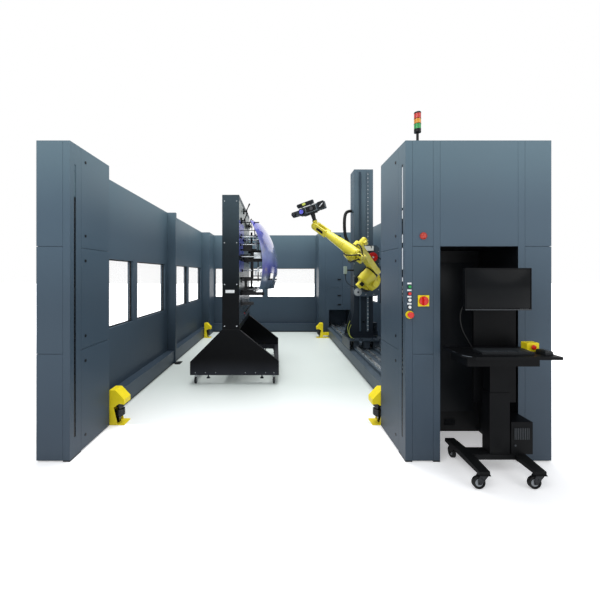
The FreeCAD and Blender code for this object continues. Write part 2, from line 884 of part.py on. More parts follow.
def scanner(stand):
    # Worked out with the beam face at X = 0, looking along +X, the middle at Y = 0
    half = hood_width / 2
    foot = box(0, stand + hood_depth, -half, half, 0, scanner_foot)
    outline = ((stand, -half, scanner_foot), (stand + hood_wall, -half, scanner_foot),
               (stand + hood_wall, -half, hood_brow), (stand + hood_depth, -half, hood_brow - 26),
               (stand + hood_depth, -half, hood_brow + 30), (stand + hood_depth * 0.42, -half, hood_top),
               (stand, -half, hood_top))
    hood = prism(outline, (0, hood_width, 0))
    under = box(stand + hood_wall * 3, stand + hood_depth - hood_wall * 2, hood_wall - half, half - hood_wall,
                hood_brow - 40, hood_brow + 24)
    cheeks = [prism(((stand, y, scanner_foot), (stand + hood_depth * 0.55, y, scanner_foot),
                     (stand + hood_depth * 0.3, y, hood_brow - 60), (stand + hood_depth * 0.8, y, hood_brow),
                     (stand, y, hood_brow)), (0, hood_wall, 0)) for y in (-half, half - hood_wall)]
    link = box(0, stand, -scanner_link / 2, scanner_link / 2, toe_height + 10, toe_height + 10 + scanner_link)
    shell = fused(foot, link, hood.cut(under), *cheeks)
    middle = stand + hood_depth * 0.52
    head = fused(rod((middle, 0, scanner_low), (0, 0, 1), scanner_radius, 70),
                 rod((middle, 0, scanner_low + 70), (0, 0, 1), scanner_neck, 34),
                 rod((middle, 0, scanner_low + 104), (0, 0, 1), scanner_radius, hood_brow + 24 - scanner_low - 104),
                 box(stand + hood_wall, middle, -24, 24, scanner_foot, scanner_low + 60))
    return shell, head


def all_scanners():
    left_beam = -(wall_inner - beam_proud)
    y_front = pillar_depth + scanner_front_from_pillar
    y_rear = rear_front - scanner_rear_from_front
    shells, heads = [], []
    for face_x, y, stand, way in ((left_beam, y_front, scanner_front_stand, 1),
                                  (left_beam, y_rear, scanner_rear_stand, 1),
                                  (bed_left, y_front, scanner_right_stand, -1),
                                  (bed_left, y_rear, scanner_right_stand, -1)):
        where = placement((face_x, y, 0), (way, 0, 0), (0, 0, 1))
        shell, head = scanner(stand)
        shells.append(placed(shell, where))
        heads.append(placed(head, where))
    return shells, heads


# Linear axis, carriage, column and lift

def axis_bed():
    length = bed_end - bed_start
    toe = bed_left + toe_recess
    outline = [(toe, bed_start, 0), (toe, bed_start, toe_height), (bed_left, bed_start, toe_height),
               (bed_left, bed_start, bed_top)]
    for x in rail_places:
        outline += [(x - ridge_width / 2, bed_start, bed_top), (x - ridge_width / 2, bed_start, rail_low),
                    (x + ridge_width / 2, bed_start, rail_low), (x + ridge_width / 2, bed_start, bed_top)]
    outline += [(bed_right, bed_start, bed_top), (bed_right, bed_start, 0)]
    hollow = box(toe + tube_wall, bed_right - tube_wall, bed_start, bed_end, tube_wall, bed_top - tube_wall)
    return prism(outline, (0, length, 0)).cut(hollow)


def rail_section(x, y, z, length):
    # Profiled guide rail: wide foot, waist, wide head
    half, waist = rail_width / 2, rail_width / 2 - rail_waist
    heights = (0, 0.38, 0.55, 0.72, 1)
    widths = (half, half, waist, half, half)
    right = [(x + w, y, z + h * rail_height) for w, h in zip(widths, heights)]
    left = [(x - w, y, z + h * rail_height) for w, h in zip(reversed(widths), reversed(heights))]
    return prism(right + left, (0, length, 0))


def axis_rails():
    rails = [rail_section(x, bed_start, rail_low, bed_end - bed_start) for x in rail_places]
    middle = sum(rail_places) / 2
    rack = box(middle - rack_width / 2, middle + rack_width / 2, bed_start, bed_end, bed_top, bed_top + rack_height)
    return rails + [rack]


def axis_carriage():
    x0 = bed_left + carriage_left
    y0, y1 = carriage_front, carriage_front + carriage_length
    plate_low = carriage_top - carriage_plate
    plate = box(x0, x0 + carriage_width, y0, y1, plate_low, carriage_top)
    skirt = box(x0, x0 + skirt_thick, y0, y1, bed_top + skirt_clear, plate_low)
    parts = [plate, skirt]
    channel = rail_width / 2 + rail_run
    for x in rail_places:
        for y in (y0 + block_inset, y1 - block_inset - block_length):
            block = box(x - block_width / 2, x + block_width / 2, y, y + block_length, rail_low + 6, plate_low)
            parts.append(block.cut(box(x - channel, x + channel, y, y + block_length, rail_low,
                                       rail_high + rail_run)))
    middle = sum(rail_places) / 2
    gearbox = box(middle - 60, middle + 60, y0 + 40, y0 + 160, bed_top + rack_height + 8, plate_low)
    return fused(plate, skirt, gearbox, *parts[2:])


def carriage_dress():
    # Clamping strips, jacking bolts and the drive motor on the carriage plate
    x0 = bed_left + carriage_left
    pieces = []
    for x in (x0 + 40, x0 + 200, x0 + 440, x0 + 600):
        pieces.append(box(x, x + 70, carriage_front + 30, carriage_front + 84, carriage_top, carriage_top + 18))
        pieces.append(rod((x + 35, carriage_front + 57, carriage_top + 18), (0, 0, 1), 11, 16))
    motor_x = x0 + carriage_width - 52
    motor_y = carriage_front + 560
    motor = fused(box(motor_x - 50, motor_x + 50, motor_y - 50, motor_y + 50, carriage_top, carriage_top + 90),
                  rod((motor_x, motor_y, carriage_top + 90), (0, 0, 1), 45, 180),
                  box(motor_x - 24, motor_x + 24, motor_y - 68, motor_y, carriage_top + 150, carriage_top + 200))
    return pieces + [motor]


def column():
    x0, x1 = column_x, column_x + column_width
    y0, y1 = column_front, column_front + column_depth
    low = carriage_top + column_base
    wall = column_wall
    tube = box(x0, x1, y0, y1, low, column_top)
    hollow = box(x0 + wall, x1 - wall, y0 + wall, y1 - wall, low, column_top - wall)
    slot_x = column_middle - lift_rail_pitch / 2 - 6
    slot = box(slot_x - column_slot_width / 2, slot_x + column_slot_width / 2, y0, y1, column_slot_low,
               column_slot_low + column_slot_height)
    port = rod((column_middle, y0, port_height), (0, 1, 0), port_bore, wall)
    base = box(x0 - gusset_reach, x1 + gusset_reach / 2, y0 - 40, y1 + 40, carriage_top, low)
    gussets = []
    for y in (y0, y1 - gusset_thick):
        gussets.append(prism(((x0, y, low), (x0 - gusset_reach, y, low), (x0 - gusset_reach, y, low + 40),
                              (x0, y, low + gusset_height)), (0, gusset_thick, 0)))
    collar = ring((column_middle, y0, port_height), (0, -1, 0), port_radius, port_bore, 12)
    outlet = rod((x0 - hose_outlet, hose_route[0][1], hose_route[0][2]), (1, 0, 0), hose_radius + 10, hose_outlet)
    return fused(tube.cut([hollow, slot, port]), base, collar, outlet, *gussets)


def lift_rails():
    y = column_front - lift_rail_depth
    low, high = lift_rail_low, column_top - lift_rail_ends
    rails = []
    for side in (-1, 1):
        x = column_middle + side * lift_rail_pitch / 2
        half = lift_rail_width / 2
        rails.append(box(x - half, x + half, y, column_front, low, high))
    return rails


def lift_plate():
    x0 = column_middle - lift_plate_width / 2 + lift_plate_offset
    x1 = x0 + lift_plate_width
    y0 = lift_front
    y1 = y0 + lift_plate_thick
    bevel = 60
    outline = ((x0, y0, lift_plate_low + bevel), (x0 + bevel, y0, lift_plate_low), (x1 - bevel, y0, lift_plate_low),
               (x1, y0, lift_plate_low + bevel), (x1, y0, lift_plate_high - bevel),
               (x1 - bevel, y0, lift_plate_high), (x0 + bevel, y0, lift_plate_high),
               (x0, y0, lift_plate_high - bevel))
    parts = [prism(outline, (0, lift_plate_thick, 0))]
    channel = lift_rail_width / 2 + rail_run
    for side in (-1, 1):
        x = column_middle + side * lift_rail_pitch / 2
        for z in (lift_plate_low + 90, lift_plate_high - 90 - lift_block_height):
            block = box(x - 40, x + 40, y1, column_front - 4, z, z + lift_block_height)
            parts.append(block.cut(box(x - channel, x + channel, column_front - lift_rail_depth - rail_run,
                                       column_front, z, z + lift_block_height)))
    return fused(*parts)


def lift_dress():
    # Drive cap, terminal box, hose clamp and cable inlet on the lift plate
    y = lift_front
    reel_x = column_x + reel_from_column
    cap_y = y - reel_stand
    reel = fused(rod((reel_x, y, reel_height), (0, -1, 0), reel_radius - 25, reel_stand),
                 rod((reel_x, cap_y, reel_height), (0, -1, 0), reel_radius, reel_thick),
                 rod((reel_x, cap_y - reel_thick, reel_height), (0, -1, 0), reel_radius / 3, 12))
    gland_x = lead_route[0][0] - cable_end_gap
    gland = rod((gland_x - 27, lead_route[0][1], reel_height), (1, 0, 0), 15, 27)
    terminal_x = column_x + terminal_from_column
    terminal = box(terminal_x, terminal_x + terminal_width, y - terminal_depth, y, terminal_low,
                   loop_route[-1][2] - cable_end_gap)
    clamp_x = column_x + clamp_from_column
    clamp_right = clamp_x + clamp_width
    clamp = box(clamp_x, clamp_right, y - clamp_depth - 4, y - 4, clamp_low, loop_route[0][2] - cable_end_gap)
    plate_left = column_middle - lift_plate_width / 2 + lift_plate_offset
    arm = box(clamp_right - 68, clamp_right, y - 8, y + 30, clamp_low - 85, clamp_low + 25)
    arm = arm.cut(box(plate_left, clamp_right + 1, y, y + 31, clamp_low - 86, clamp_low + 26))
    inlet = ring((column_x + inlet_from_column, y, inlet_height), (0, -1, 0), inlet_radius, inlet_bore, inlet_thick)
    bolts = [rod((column_x + inlet_from_column + inlet_radius * 1.5 * math.cos(turn), y,
                  inlet_height + inlet_radius * 1.5 * math.sin(turn)), (0, -1, 0), 8, 12)
             for turn in [math.radians(step * 60 + 30) for step in range(6)]]
    flange = rod((column_x + inlet_from_column, y, inlet_height), (0, -1, 0), inlet_radius * 1.85, 8)
    flange = flange.cut(rod((column_x + inlet_from_column, y, inlet_height), (0, -1, 0), inlet_bore, 8))
    return [fused(reel, gland), terminal, fused(clamp, arm), fused(flange, inlet, *bolts)]


# Arm

lean = math.radians(arm_lean)
out_way = V(-math.cos(lean), 0, math.sin(lean))
up_way = V(0, -1, 0)
arm_origin = V(column_middle + lift_plate_offset, lift_front, 1629)


def arm_point(out, up):
    return arm_origin + out_way * out + up_way * up


def plane_way(degrees):
    turn = math.radians(degrees)
    return out_way * math.cos(turn) + up_way * math.sin(turn)


side_way = up_way.cross(out_way)
shoulder = arm_point(shoulder_offset, shoulder_height)
upper_way = plane_way(upper_angle)
elbow = shoulder + upper_way * upper_length
forearm_way = plane_way(forearm_angle)
forearm_normal = forearm_way.cross(side_way)
wrist_point = elbow + forearm_normal * elbow_offset + forearm_way * forearm_length
tool_way = V(*tool_tilt).normalize()
wrist_axis = forearm_way.cross(tool_way).normalize()
bar_way = (V(*bar_tilt) - tool_way * V(*bar_tilt).dot(tool_way)).normalize()
base_frame = placement(arm_origin, out_way, up_way)
upper_frame = placement(shoulder, upper_way, upper_way.cross(side_way))
elbow_frame = placement(elbow, forearm_way, forearm_normal)
forearm_frame = placement(elbow + forearm_normal * elbow_offset, forearm_way, forearm_way.cross(wrist_axis))
wrist_frame = placement(wrist_point, wrist_axis.cross(tool_way), tool_way)
head_frame = placement(wrist_point + tool_way * head_height - bar_way * head_shift, bar_way, tool_way)


def robot_base():
    half = base_plate_half
    plate = box(-half, half, -half, half, 0, base_plate_thick)
    plate = plate.makeChamfer(base_plate_corner, [edge for edge in plate.Edges if abs(edge.tangentAt(0).z) > 0.9])
    body = rod((0, 0, base_plate_thick), (0, 0, 1), base_radius, base_height - base_plate_thick)
    plugs = box(-120, 60, base_radius - 30, base_radius + 62, base_plate_thick + 8, base_height - 14)
    bolts = [rod((x, y, base_plate_thick), (0, 0, 1), 13, 14) 
             for x in (-base_bolt_side, base_bolt_side) for y in (-base_bolt_up, base_bolt_up)]
    end = V(*lead_route[-1])
    radial = (V(end.x, 0, end.z) - V(arm_origin.x, 0, arm_origin.z)).normalize()
    gland = rod(tuple(end - radial * (40 + cable_end_gap)), tuple(radial), 15, 40)
    return fused(placed(fused(plate, body, plugs, *bolts), base_frame), gland)


def robot_turret():
    low = base_height + turn_gap
    deck = low + turret_height
    drum = rod((0, 0, low), (0, 0, 1), turret_radius, turret_height)
    side = shoulder_radius
    cheek = -turret_cheek
    outline = ((-turret_back, cheek, deck - 10), (turret_front, cheek, deck - 10),
               (shoulder_offset + side, cheek, shoulder_height), (shoulder_offset - side, cheek, shoulder_height),
               (-turret_back, cheek, deck + turret_shelf))
    block = prism(outline, (0, turret_block_width, 0))
    block = block.makeChamfer(turret_edge, [edge for edge in block.Edges
                                            if abs(edge.tangentAt(0).y) < 0.5 and edge.BoundBox.ZMin > deck])
    ribs = box(-turret_back + 30, turret_front - 40, cheek + turret_block_width - 1,
               cheek + turret_block_width + turret_rib, deck + 20, deck + 20 + turret_rib)
    boss = rod((shoulder_offset, -cheek_gap + turn_gap, shoulder_height), (0, 1, 0), side,
               cheek_gap + shoulder_motor_start)
    flange = rod((shoulder_offset, shoulder_motor_start, shoulder_height), (0, 1, 0), motor_radius + 22, 18)
    motor = rod((shoulder_offset, shoulder_motor_start, shoulder_height), (0, 1, 0), motor_radius,
                shoulder_motor_length)
    motor_box = box(shoulder_offset - 40, shoulder_offset + 40, shoulder_motor_start + 30,
                    shoulder_motor_start + 100, shoulder_height + 40, shoulder_height + motor_radius + 32)
    first_motor = rod((-waist_motor_back, waist_motor_side, deck + 60), (0, 0, 1), motor_radius - 8,
                      waist_motor_length)
    first_flange = rod((-waist_motor_back, waist_motor_side, deck + 60), (0, 0, 1), motor_radius + 10, 44)
    return placed(fused(drum, block, ribs, boss, flange, motor, motor_box, first_motor, first_flange), base_frame)


def link_face(length, big, small, y, shrink):
    # Two round ends joined by their common tangents, in the X-Z plane
    a, b = big - shrink, small - shrink
    slope = math.asin((a - b) / length)
    c, s = math.cos(slope), math.sin(slope)
    top_a, top_b = V(a * s, y, a * c), V(length + b * s, y, b * c)
    low_a, low_b = V(a * s, y, -a * c), V(length + b * s, y, -b * c)
    edges = [Part.LineSegment(top_a, top_b).toShape(),
             Part.Arc(top_b, V(length + b, y, 0), low_b).toShape(),
             Part.LineSegment(low_b, low_a).toShape(),
             Part.Arc(low_a, V(-a, y, 0), top_a).toShape()]
    return Part.Face(Part.Wire(edges))


def upper_arm():
    inner = -cheek_gap
    outer = inner - link_thick
    link = link_face(upper_length, link_big, link_small, outer, 0).extrude(V(0, link_thick, 0))
    link = link.makeChamfer(link_edge, [edge for edge in link.Edges if edge.BoundBox.YLength < 0.01
                                        and edge.CenterOfMass.y < outer + 1])
    pocket = box(link_big + 20, upper_length - link_small - 20, outer, outer + link_pocket, -link_small + 34,
                 link_small - 34)
    rib = box(upper_length * 0.48, upper_length * 0.52, outer, outer + link_pocket, -link_small, link_small)
    pivot = rod((0, outer - 16, 0), (0, 1, 0), link_big - 40, 16)
    motor = rod((upper_length, outer - 118, 0), (0, 1, 0), motor_radius - 8, 118)
    motor_box = box(upper_length - 34, upper_length + 34, outer - 92, outer - 34, 30, 86)
    return placed(fused(link.cut(pocket.cut(rib)), pivot, motor, motor_box), upper_frame)


def elbow_housing():
    boss = rod((0, -cheek_gap + turn_gap, 0), (0, 1, 0), elbow_radius, cheek_gap + 118)
    barrel = rod((-elbow_back, 0, elbow_offset), (1, 0, 0), elbow_radius, elbow_back + elbow_front)
    block = box(-elbow_radius + 6, elbow_radius - 14, -elbow_radius + 8, elbow_radius + 10, 0, elbow_offset)
    rear = box(-elbow_back - 26, -elbow_back + 60, -88, 96, 12, elbow_offset + 78)
    rear = rear.makeChamfer(20, [edge for edge in rear.Edges if abs(edge.tangentAt(0).x) > 0.9])
    motors = [rod((-elbow_back - 26, y, z), (-1, 0, 0), hand_motor_radius, hand_motor_length)
              for y, z in ((-44, elbow_offset - 36), (48, elbow_offset - 36), (2, elbow_offset + 36))]
    return placed(fused(boss, barrel, block, rear, *motors), elbow_frame)


def forearm():
    start = elbow_front + turn_gap
    root = rod((start, 0, 0), (1, 0, 0), forearm_root, 46)
    taper_start = start + 46
    taper = Part.makeCone(forearm_root, forearm_tube, forearm_taper, V(taper_start, 0, 0), V(1, 0, 0))
    tube = rod((taper_start + forearm_taper, 0, 0), (1, 0, 0), forearm_tube,
               fork_start + 40 - taper_start - forearm_taper)
    flank = fork_gap + turn_gap
    cheeks = []
    for y in (flank, -flank - fork_cheek):
        plate = box(fork_start, forearm_length, y, y + fork_cheek, -fork_radius, fork_radius)
        cheeks.append(plate)
        cheeks.append(rod((forearm_length, y, 0), (0, 1, 0), fork_radius, fork_cheek))
    web = box(fork_start, fork_start + 46, -flank - fork_cheek, flank + fork_cheek, -fork_radius, fork_radius)
    return placed(fused(root, taper, tube, web, *cheeks), forearm_frame)


def wrist():
    hub = rod((0, -fork_gap, 0), (0, 1, 0), wrist_radius, 2 * fork_gap)
    neck = rod((0, 0, 0), (0, 0, 1), fork_gap - 2, wrist_nose)
    nose = rod((0, 0, nose_start), (0, 0, 1), nose_radius, wrist_nose - nose_start)
    return placed(fused(hub, neck, nose), wrist_frame)


def tool_bracket():
    low = wrist_nose + turn_gap
    plate_z = head_height - head_half_height - head_plate_thick
    flange = rod((0, 0, low), (0, 0, 1), nose_radius, flange_thick)
    neck = Part.makeCone(34, 44, plate_z - low - flange_thick, V(0, 0, low + flange_thick), V(0, 0, 1))
    bracket = placed(fused(flange, neck), wrist_frame)
    plate = box(-head_plate_left, head_plate_right, -head_plate_half, head_plate_half,
                -head_half_height - head_plate_thick, -head_half_height)
    return fused(bracket, placed(plate, head_frame))


def sensor_body():
    depth, height = head_half_depth, head_half_height
    main = box(-head_left, head_right, -depth, depth, -height, height)
    main = main.makeFillet(20, [edge for edge in main.Edges if abs(edge.tangentAt(0).x) > 0.9])
    low = camera_half_height
    left = prism(((-head_left + 30, -depth + 8, -low), (-head_left + 30, depth - 14, -low),
                  (-camera_reach, depth - 50, -low), (-camera_reach, -depth - 8, -low)), (0, 0, 2 * low))
    right = box(head_right + 6, camera_reach + 12, -depth + 4, depth - 10, -height + 4, height + 8)
    right = right.makeChamfer(12, [edge for edge in right.Edges if abs(edge.tangentAt(0).y) > 0.9])
    neck = box(head_right - 30, head_right + 30, -depth + 24, depth - 24, -height + 20, height - 20)
    posts = [box(x, x + 18, -14, 40, height - 8, height + aux_lift) for x in (-120, 60)]
    aux = box(-aux_length / 2 - 28, aux_length / 2 - 28, -aux_depth / 2, aux_depth / 2, height + aux_lift,
              height + aux_lift + aux_height)
    barrels = [ring((-camera_reach + 40, -depth + 6, -4), (0, -1, 0), lens_radius + 7, lens_radius, lens_barrel),
               ring((-head_left + 42, -depth + 12, 0), (0, -1, 0), projector_radius, projector_radius - 11,
                    projector_barrel),
               ring((72, -depth + 12, 4), (0, -1, 0), lens_radius + 14, lens_radius, 34)]
    return placed(fused(main, left, right, neck, aux, *(posts + barrels)), head_frame)


def sensor_lenses():
    depth = head_half_depth
    glass = [rod((-camera_reach + 40, -depth + 6 - lens_barrel + lens_sunk + 8, -4), (0, -1, 0), lens_radius, 8),
             rod((-head_left + 42, -depth + 12 - projector_barrel + lens_sunk + 10, 0), (0, -1, 0),
                 projector_radius - 11, 10),
             rod((72, -depth + 12 - 34 + lens_sunk + 8, 4), (0, -1, 0), lens_radius, 8)]
    return [placed(lens, head_frame) for lens in glass]


# Casters, worked out with the swivel axis at X = Y = 0 and the wheel trailing along -Y

def caster_fork(wheel_radius, top):
    half = wheel_width / 2 + wheel_side_gap
    wide = half + fork_sheet
    bridge_low = 2 * wheel_radius + fork_top_gap
    bearing_low = bridge_low + fork_sheet
    high = top - caster_plate_thick - bearing_gap
    bearing = rod((0, 0, bearing_low), (0, 0, 1), bearing_radius, high - bearing_low)
    bridge = box(-wide, wide, -wheel_trail, bearing_radius, bridge_low, bearing_low)
    cheeks = [prism(((x, -wheel_trail - 14, wheel_radius - 12), (x, -wheel_trail + 14, wheel_radius - 12),
                     (x, bearing_radius, bridge_low), (x, bearing_radius, bearing_low),
                     (x, -wheel_trail, bearing_low), (x, -wheel_trail - 14, bridge_low - 30)),
                    (fork_sheet, 0, 0)) for x in (-wide, half)]
    axle = rod((-wide - 4, -wheel_trail, wheel_radius), (1, 0, 0), axle_radius, 2 * wide + 8)
    return fused(bearing, bridge, axle, *cheeks)


def caster_wheel(wheel_radius):
    half = wheel_width / 2
    tread = rod((-half, 0, 0), (1, 0, 0), wheel_radius, wheel_width)
    tread = tread.makeChamfer(4, [edge for edge in tread.Edges if edge.Closed])
    recess = [ring((x, 0, 0), (1, 0, 0), wheel_radius - 14, 16, 5) for x in (-half, half - 5)]
    bore = rod((-half, 0, 0), (1, 0, 0), wheel_bore, wheel_width)
    wheel = tread.cut(recess + [bore])
    return placed(wheel, FreeCAD.Placement(V(0, -wheel_trail, wheel_radius), FreeCAD.Rotation()))


def caster_plate(top):
    half = caster_plate_half
    return box(-half, half, -half, half, top - caster_plate_thick, top)


def at(shape, x, y, angle=0):
    return placed(shape, FreeCAD.Placement(V(x, y, 0), FreeCAD.Rotation(V(0, 0, 1), angle)))


def cart_casters():
    x0, x1 = cart_left + caster_from_side, cart_right - caster_from_side
    y0, y1 = cart_front + caster_from_end, cart_front + cart_length - caster_from_end
    return ((x0, y0), (x1, y0)), ((x0, y1), (x1, y1))


def trolley_casters():
    inset = trolley_leg_width / 2
    x0, x1 = trolley_left + inset, trolley_left + trolley_width - inset
    front = trolley_swivel_front
    rear = trolley_axle_back - wheel_trail
    shift = trolley_swivel_shift
    return ((x0 + shift, front), (x1 + shift, front)), ((x0, rear), (x1, rear))


# Fixture cart

def cart_end(y, flange_way):
    # End plate in the shape of an A with a folded edge along each slant
    low, side, slant = cart_bottom, cart_side_top, cart_slant_top
    outline = ((cart_left, y, low), (cart_right, y, low), (cart_right, y, side), (upright_right, y, slant),
               (upright_right, y, cart_top), (upright_x, y, cart_top), (upright_x, y, slant), (cart_left, y, side))
    plate = prism(outline, (0, cart_plate, 0))
    far = y + (cart_plate if flange_way > 0 else -cart_flange)
    edges = []
    for outer, inner in ((cart_left, upright_x), (cart_right, upright_right)):
        drop = cart_plate * 1.2
        edges.append(prism(((outer, far, side), (inner, far, slant), (inner, far, slant - drop),
                            (outer, far, side - drop)), (0, cart_flange, 0)))
    return fused(plate, *edges)


def cart_frame():
    y0, y1 = cart_front, cart_front + cart_length
    inner0, inner1 = y0 + cart_plate, y1 - cart_plate
    ends = [cart_end(y0, 1), cart_end(y1 - cart_plate, -1)]
    tubes = []
    wall = cart_wall
    width = cart_tube

    def beam(x, z):
        outer = box(x, x + width, inner0, inner1, z, z + width)
        return outer.cut(box(x + wall, x + width - wall, inner0, inner1, z + wall, z + width - wall))

    for x in (upright_x, upright_right - width):
        for z in (cart_bottom, cart_panel_low - width, (cart_panel_low + cart_top) / 2, cart_top - width):
            tubes.append(beam(x, z))
    for x in (cart_left, cart_right - width):
        tubes.append(beam(x, cart_bottom))
    spread = []
    for y in (inner0 + 20, inner1 - 20 - width):
        spread.append(box(cart_left + width, upright_x, y, y + width, cart_bottom, cart_bottom + width))
        spread.append(box(upright_right, cart_right - width, y, y + width, cart_bottom, cart_bottom + width))
    plates = [box(upright_x + cart_panel_sink, upright_x + cart_panel_sink + cart_panel, inner0, inner1,
                  cart_panel_low, cart_top - width)]
    for places in cart_casters():
        for x, y in places:
            plates.append(at(caster_plate(cart_bottom), x, y))
    for x, y in cart_casters()[1]:
        plates.append(at(fused(caster_fork(cart_wheel_radius, cart_bottom),
                               rod((0, 0, cart_bottom - caster_plate_thick - 1), (0, 0, 1), bearing_radius, 1)),
                         x, y, 180))
    feet = []
    for x in (cart_left + cart_foot_from_side, cart_right - cart_foot_from_side):
        for y in (y0 + caster_from_end, y1 - caster_from_end):
            stem = rod((x, y, cart_foot_low), (0, 0, 1), cart_foot_stem, cart_bottom - cart_foot_low)
            pad = Part.makeCone(cart_foot_radius, cart_foot_stem + 4, 26, V(x, y, cart_foot_low))
            feet.append(fused(stem, pad))
    return ends + tubes + spread + plates + feet


def piece_section(y, skin):
    # Closed section of the panel: outer arc, inner arc, short ends; ends fall back towards the cart
    share = (y - cart_front - piece_from_front) / piece_length * 2 - 1
    fall = piece_end_fall * abs(share) ** 2.4
    places = ((piece_bottom_out, piece_bottom_z), (piece_middle_out, piece_middle_z), (piece_top_out, piece_top_z))
    outer = [V(upright_right + out - fall * (0.72 if index == 2 else 1), y, z)
             for index, (out, z) in enumerate(places)]
    inner = [point - V(skin, 0, 0) for point in outer]
    edges = [Part.Arc(*outer).toShape(), Part.LineSegment(outer[2], inner[2]).toShape(),
             Part.Arc(inner[2], inner[1], inner[0]).toShape(), Part.LineSegment(inner[0], outer[0]).toShape()]
    return Part.Wire(edges)


def piece_loft(skin, shift):
    stations = 7
    wires = []
    for turn in range(stations):
        y = cart_front + piece_from_front + piece_length * turn / (stations - 1)
        wire = piece_section(y, skin)
        wire.translate(V(shift, 0, 0))
        wires.append(wire)
    return Part.makeLoft(wires, True, False)


def workpiece():
    panel = piece_loft(piece_thick, 0)
    middle = cart_front + piece_from_front + piece_length / 2
    mouth = box(upright_right, upright_right + 700, middle - 420, middle + 420, 1600, 1690)
    lamp_holes = [box(upright_right, upright_right + 700, middle + side * 640 - 90, middle + side * 640 + 90,
                      1640, 1760) for side in (-1, 1)]
    return panel.cut([mouth] + lamp_holes)


def holders():
    # Mounting plate on the upright, rods to pads that follow the panel's back
    y0, y1 = cart_front + cart_plate, cart_front + cart_length - cart_plate
    face = upright_right
    plate = box(face - cart_panel, face, y0, y1, cart_panel_low, cart_top - cart_tube)
    plate = plate.cut([box(face - cart_tube, face, y0, y1, z, z + cart_tube)
                       for z in ((cart_panel_low + cart_top) / 2,)])
    beyond = piece_loft(piece_thick + 900, 900 + piece_thick)
    beyond.translate(V(-piece_thick - holder_gap, 0, 0))
    pieces = [plate]
    for z in holder_rows:
        for column_y in holder_columns:
            y = cart_front + column_y
            bar = rod((face, y, z), (1, 0, 0), holder_radius, 700)
            flange = rod((face, y, z), (1, 0, 0), holder_flange, 14)
            bar = bar.cut(beyond)
            end = bar.BoundBox.XMax
            pad = rod((end - holder_pad_thick, y, z), (1, 0, 0), holder_pad_radius, 400).cut(beyond)
            pieces.append(fused(bar, flange, pad))
    tray_y = cart_front + (cart_length - tray_length) / 2
    tray = box(face, face + tray_width, tray_y, tray_y + tray_length, tray_height - tray_thick, tray_height)
    tray = tray.cut(box(face + 8, face + tray_width - 8, tray_y + 8, tray_y + tray_length - 8,
                        tray_height - tray_thick + 8, tray_height))
    return pieces + [tray, lever_bracket()]


def lever_bracket():
    # Two ears and the pin of the clamping lever
    y = cart_front + lever_from_front
    face = upright_right
    ears = [box(face, face + lever_out + 24, y + shift, y + shift + 8, lever_height - 24, lever_height + 24)
            for shift in (-26, 18)]
    foot = box(face, face + 10, y - 40, y + 40, lever_height - 60, lever_height + 60)
    pin = rod((face + lever_out, y - 30, lever_height), (0, 1, 0), lever_pin, 60)
    return fused(foot, pin, *ears)


def clamp_lever():
    y = cart_front + lever_from_front
    pivot = V(upright_right + lever_out, y, lever_height)
    turn = math.radians(lever_angle)
    way = V(math.cos(turn), 0, math.sin(turn))
    hub = rod((pivot.x, y - 16, pivot.z), (0, 1, 0), 20, 32)
    bar = Part.makeCylinder(lever_radius, lever_length - 70, pivot, way)
    grip = Part.makeCylinder(lever_radius + 5, 80, pivot + way * (lever_length - 80), way)
    return fused(hub, bar, grip).cut(rod((pivot.x, y - 20, pivot.z), (0, 1, 0), lever_pin_bore, 40))


# Operator's trolley

def trolley_frame():
    z0, z1 = trolley_bottom, trolley_bottom + trolley_base
    x0, x1 = trolley_left, trolley_left + trolley_width
    parts = [box(x0, x1, trolley_beam_front, trolley_beam_back, z0, z1)]
    for x in (x0, x1 - trolley_leg_width):
        leg = prism(((x, trolley_leg_front, z0), (x, trolley_leg_back, z0), (x, trolley_leg_back, z1 - 12),
                     (x, trolley_beam_back, z1), (x, trolley_beam_front, z1), (x, trolley_leg_front, z1 - 18)),
                    (trolley_leg_width, 0, 0))
        parts.append(leg)
    y0 = (trolley_beam_front + trolley_beam_back - mast_depth) / 2
    mast = box(mast_left, mast_left + mast_width, y0, y0 + mast_depth, z1, mast_top)
    wall = mast_wall
    hollow = box(mast_left + wall, mast_left + mast_width - wall, y0 + wall, y0 + mast_depth - wall, z1 + wall,
                 mast_top)
    base = fused(mast.cut(hollow), *parts)
    computer = box(computer_left, computer_left + computer_width, trolley_beam_back - computer_depth / 2,
                   trolley_beam_back + computer_depth / 2, z1, z1 + computer_height)
    pieces = [base, computer]
    for places in trolley_casters():
        for x, y in places:
            pieces.append(at(caster_plate(trolley_bottom), x, y))
    for x, y in trolley_casters()[1]:
        stub = rod((0, 0, trolley_bottom - caster_plate_thick - 1), (0, 0, 1), bearing_radius, 1)
        pieces.append(at(fused(caster_fork(trolley_wheel_radius, trolley_bottom), stub), x, y, 180))
    return pieces


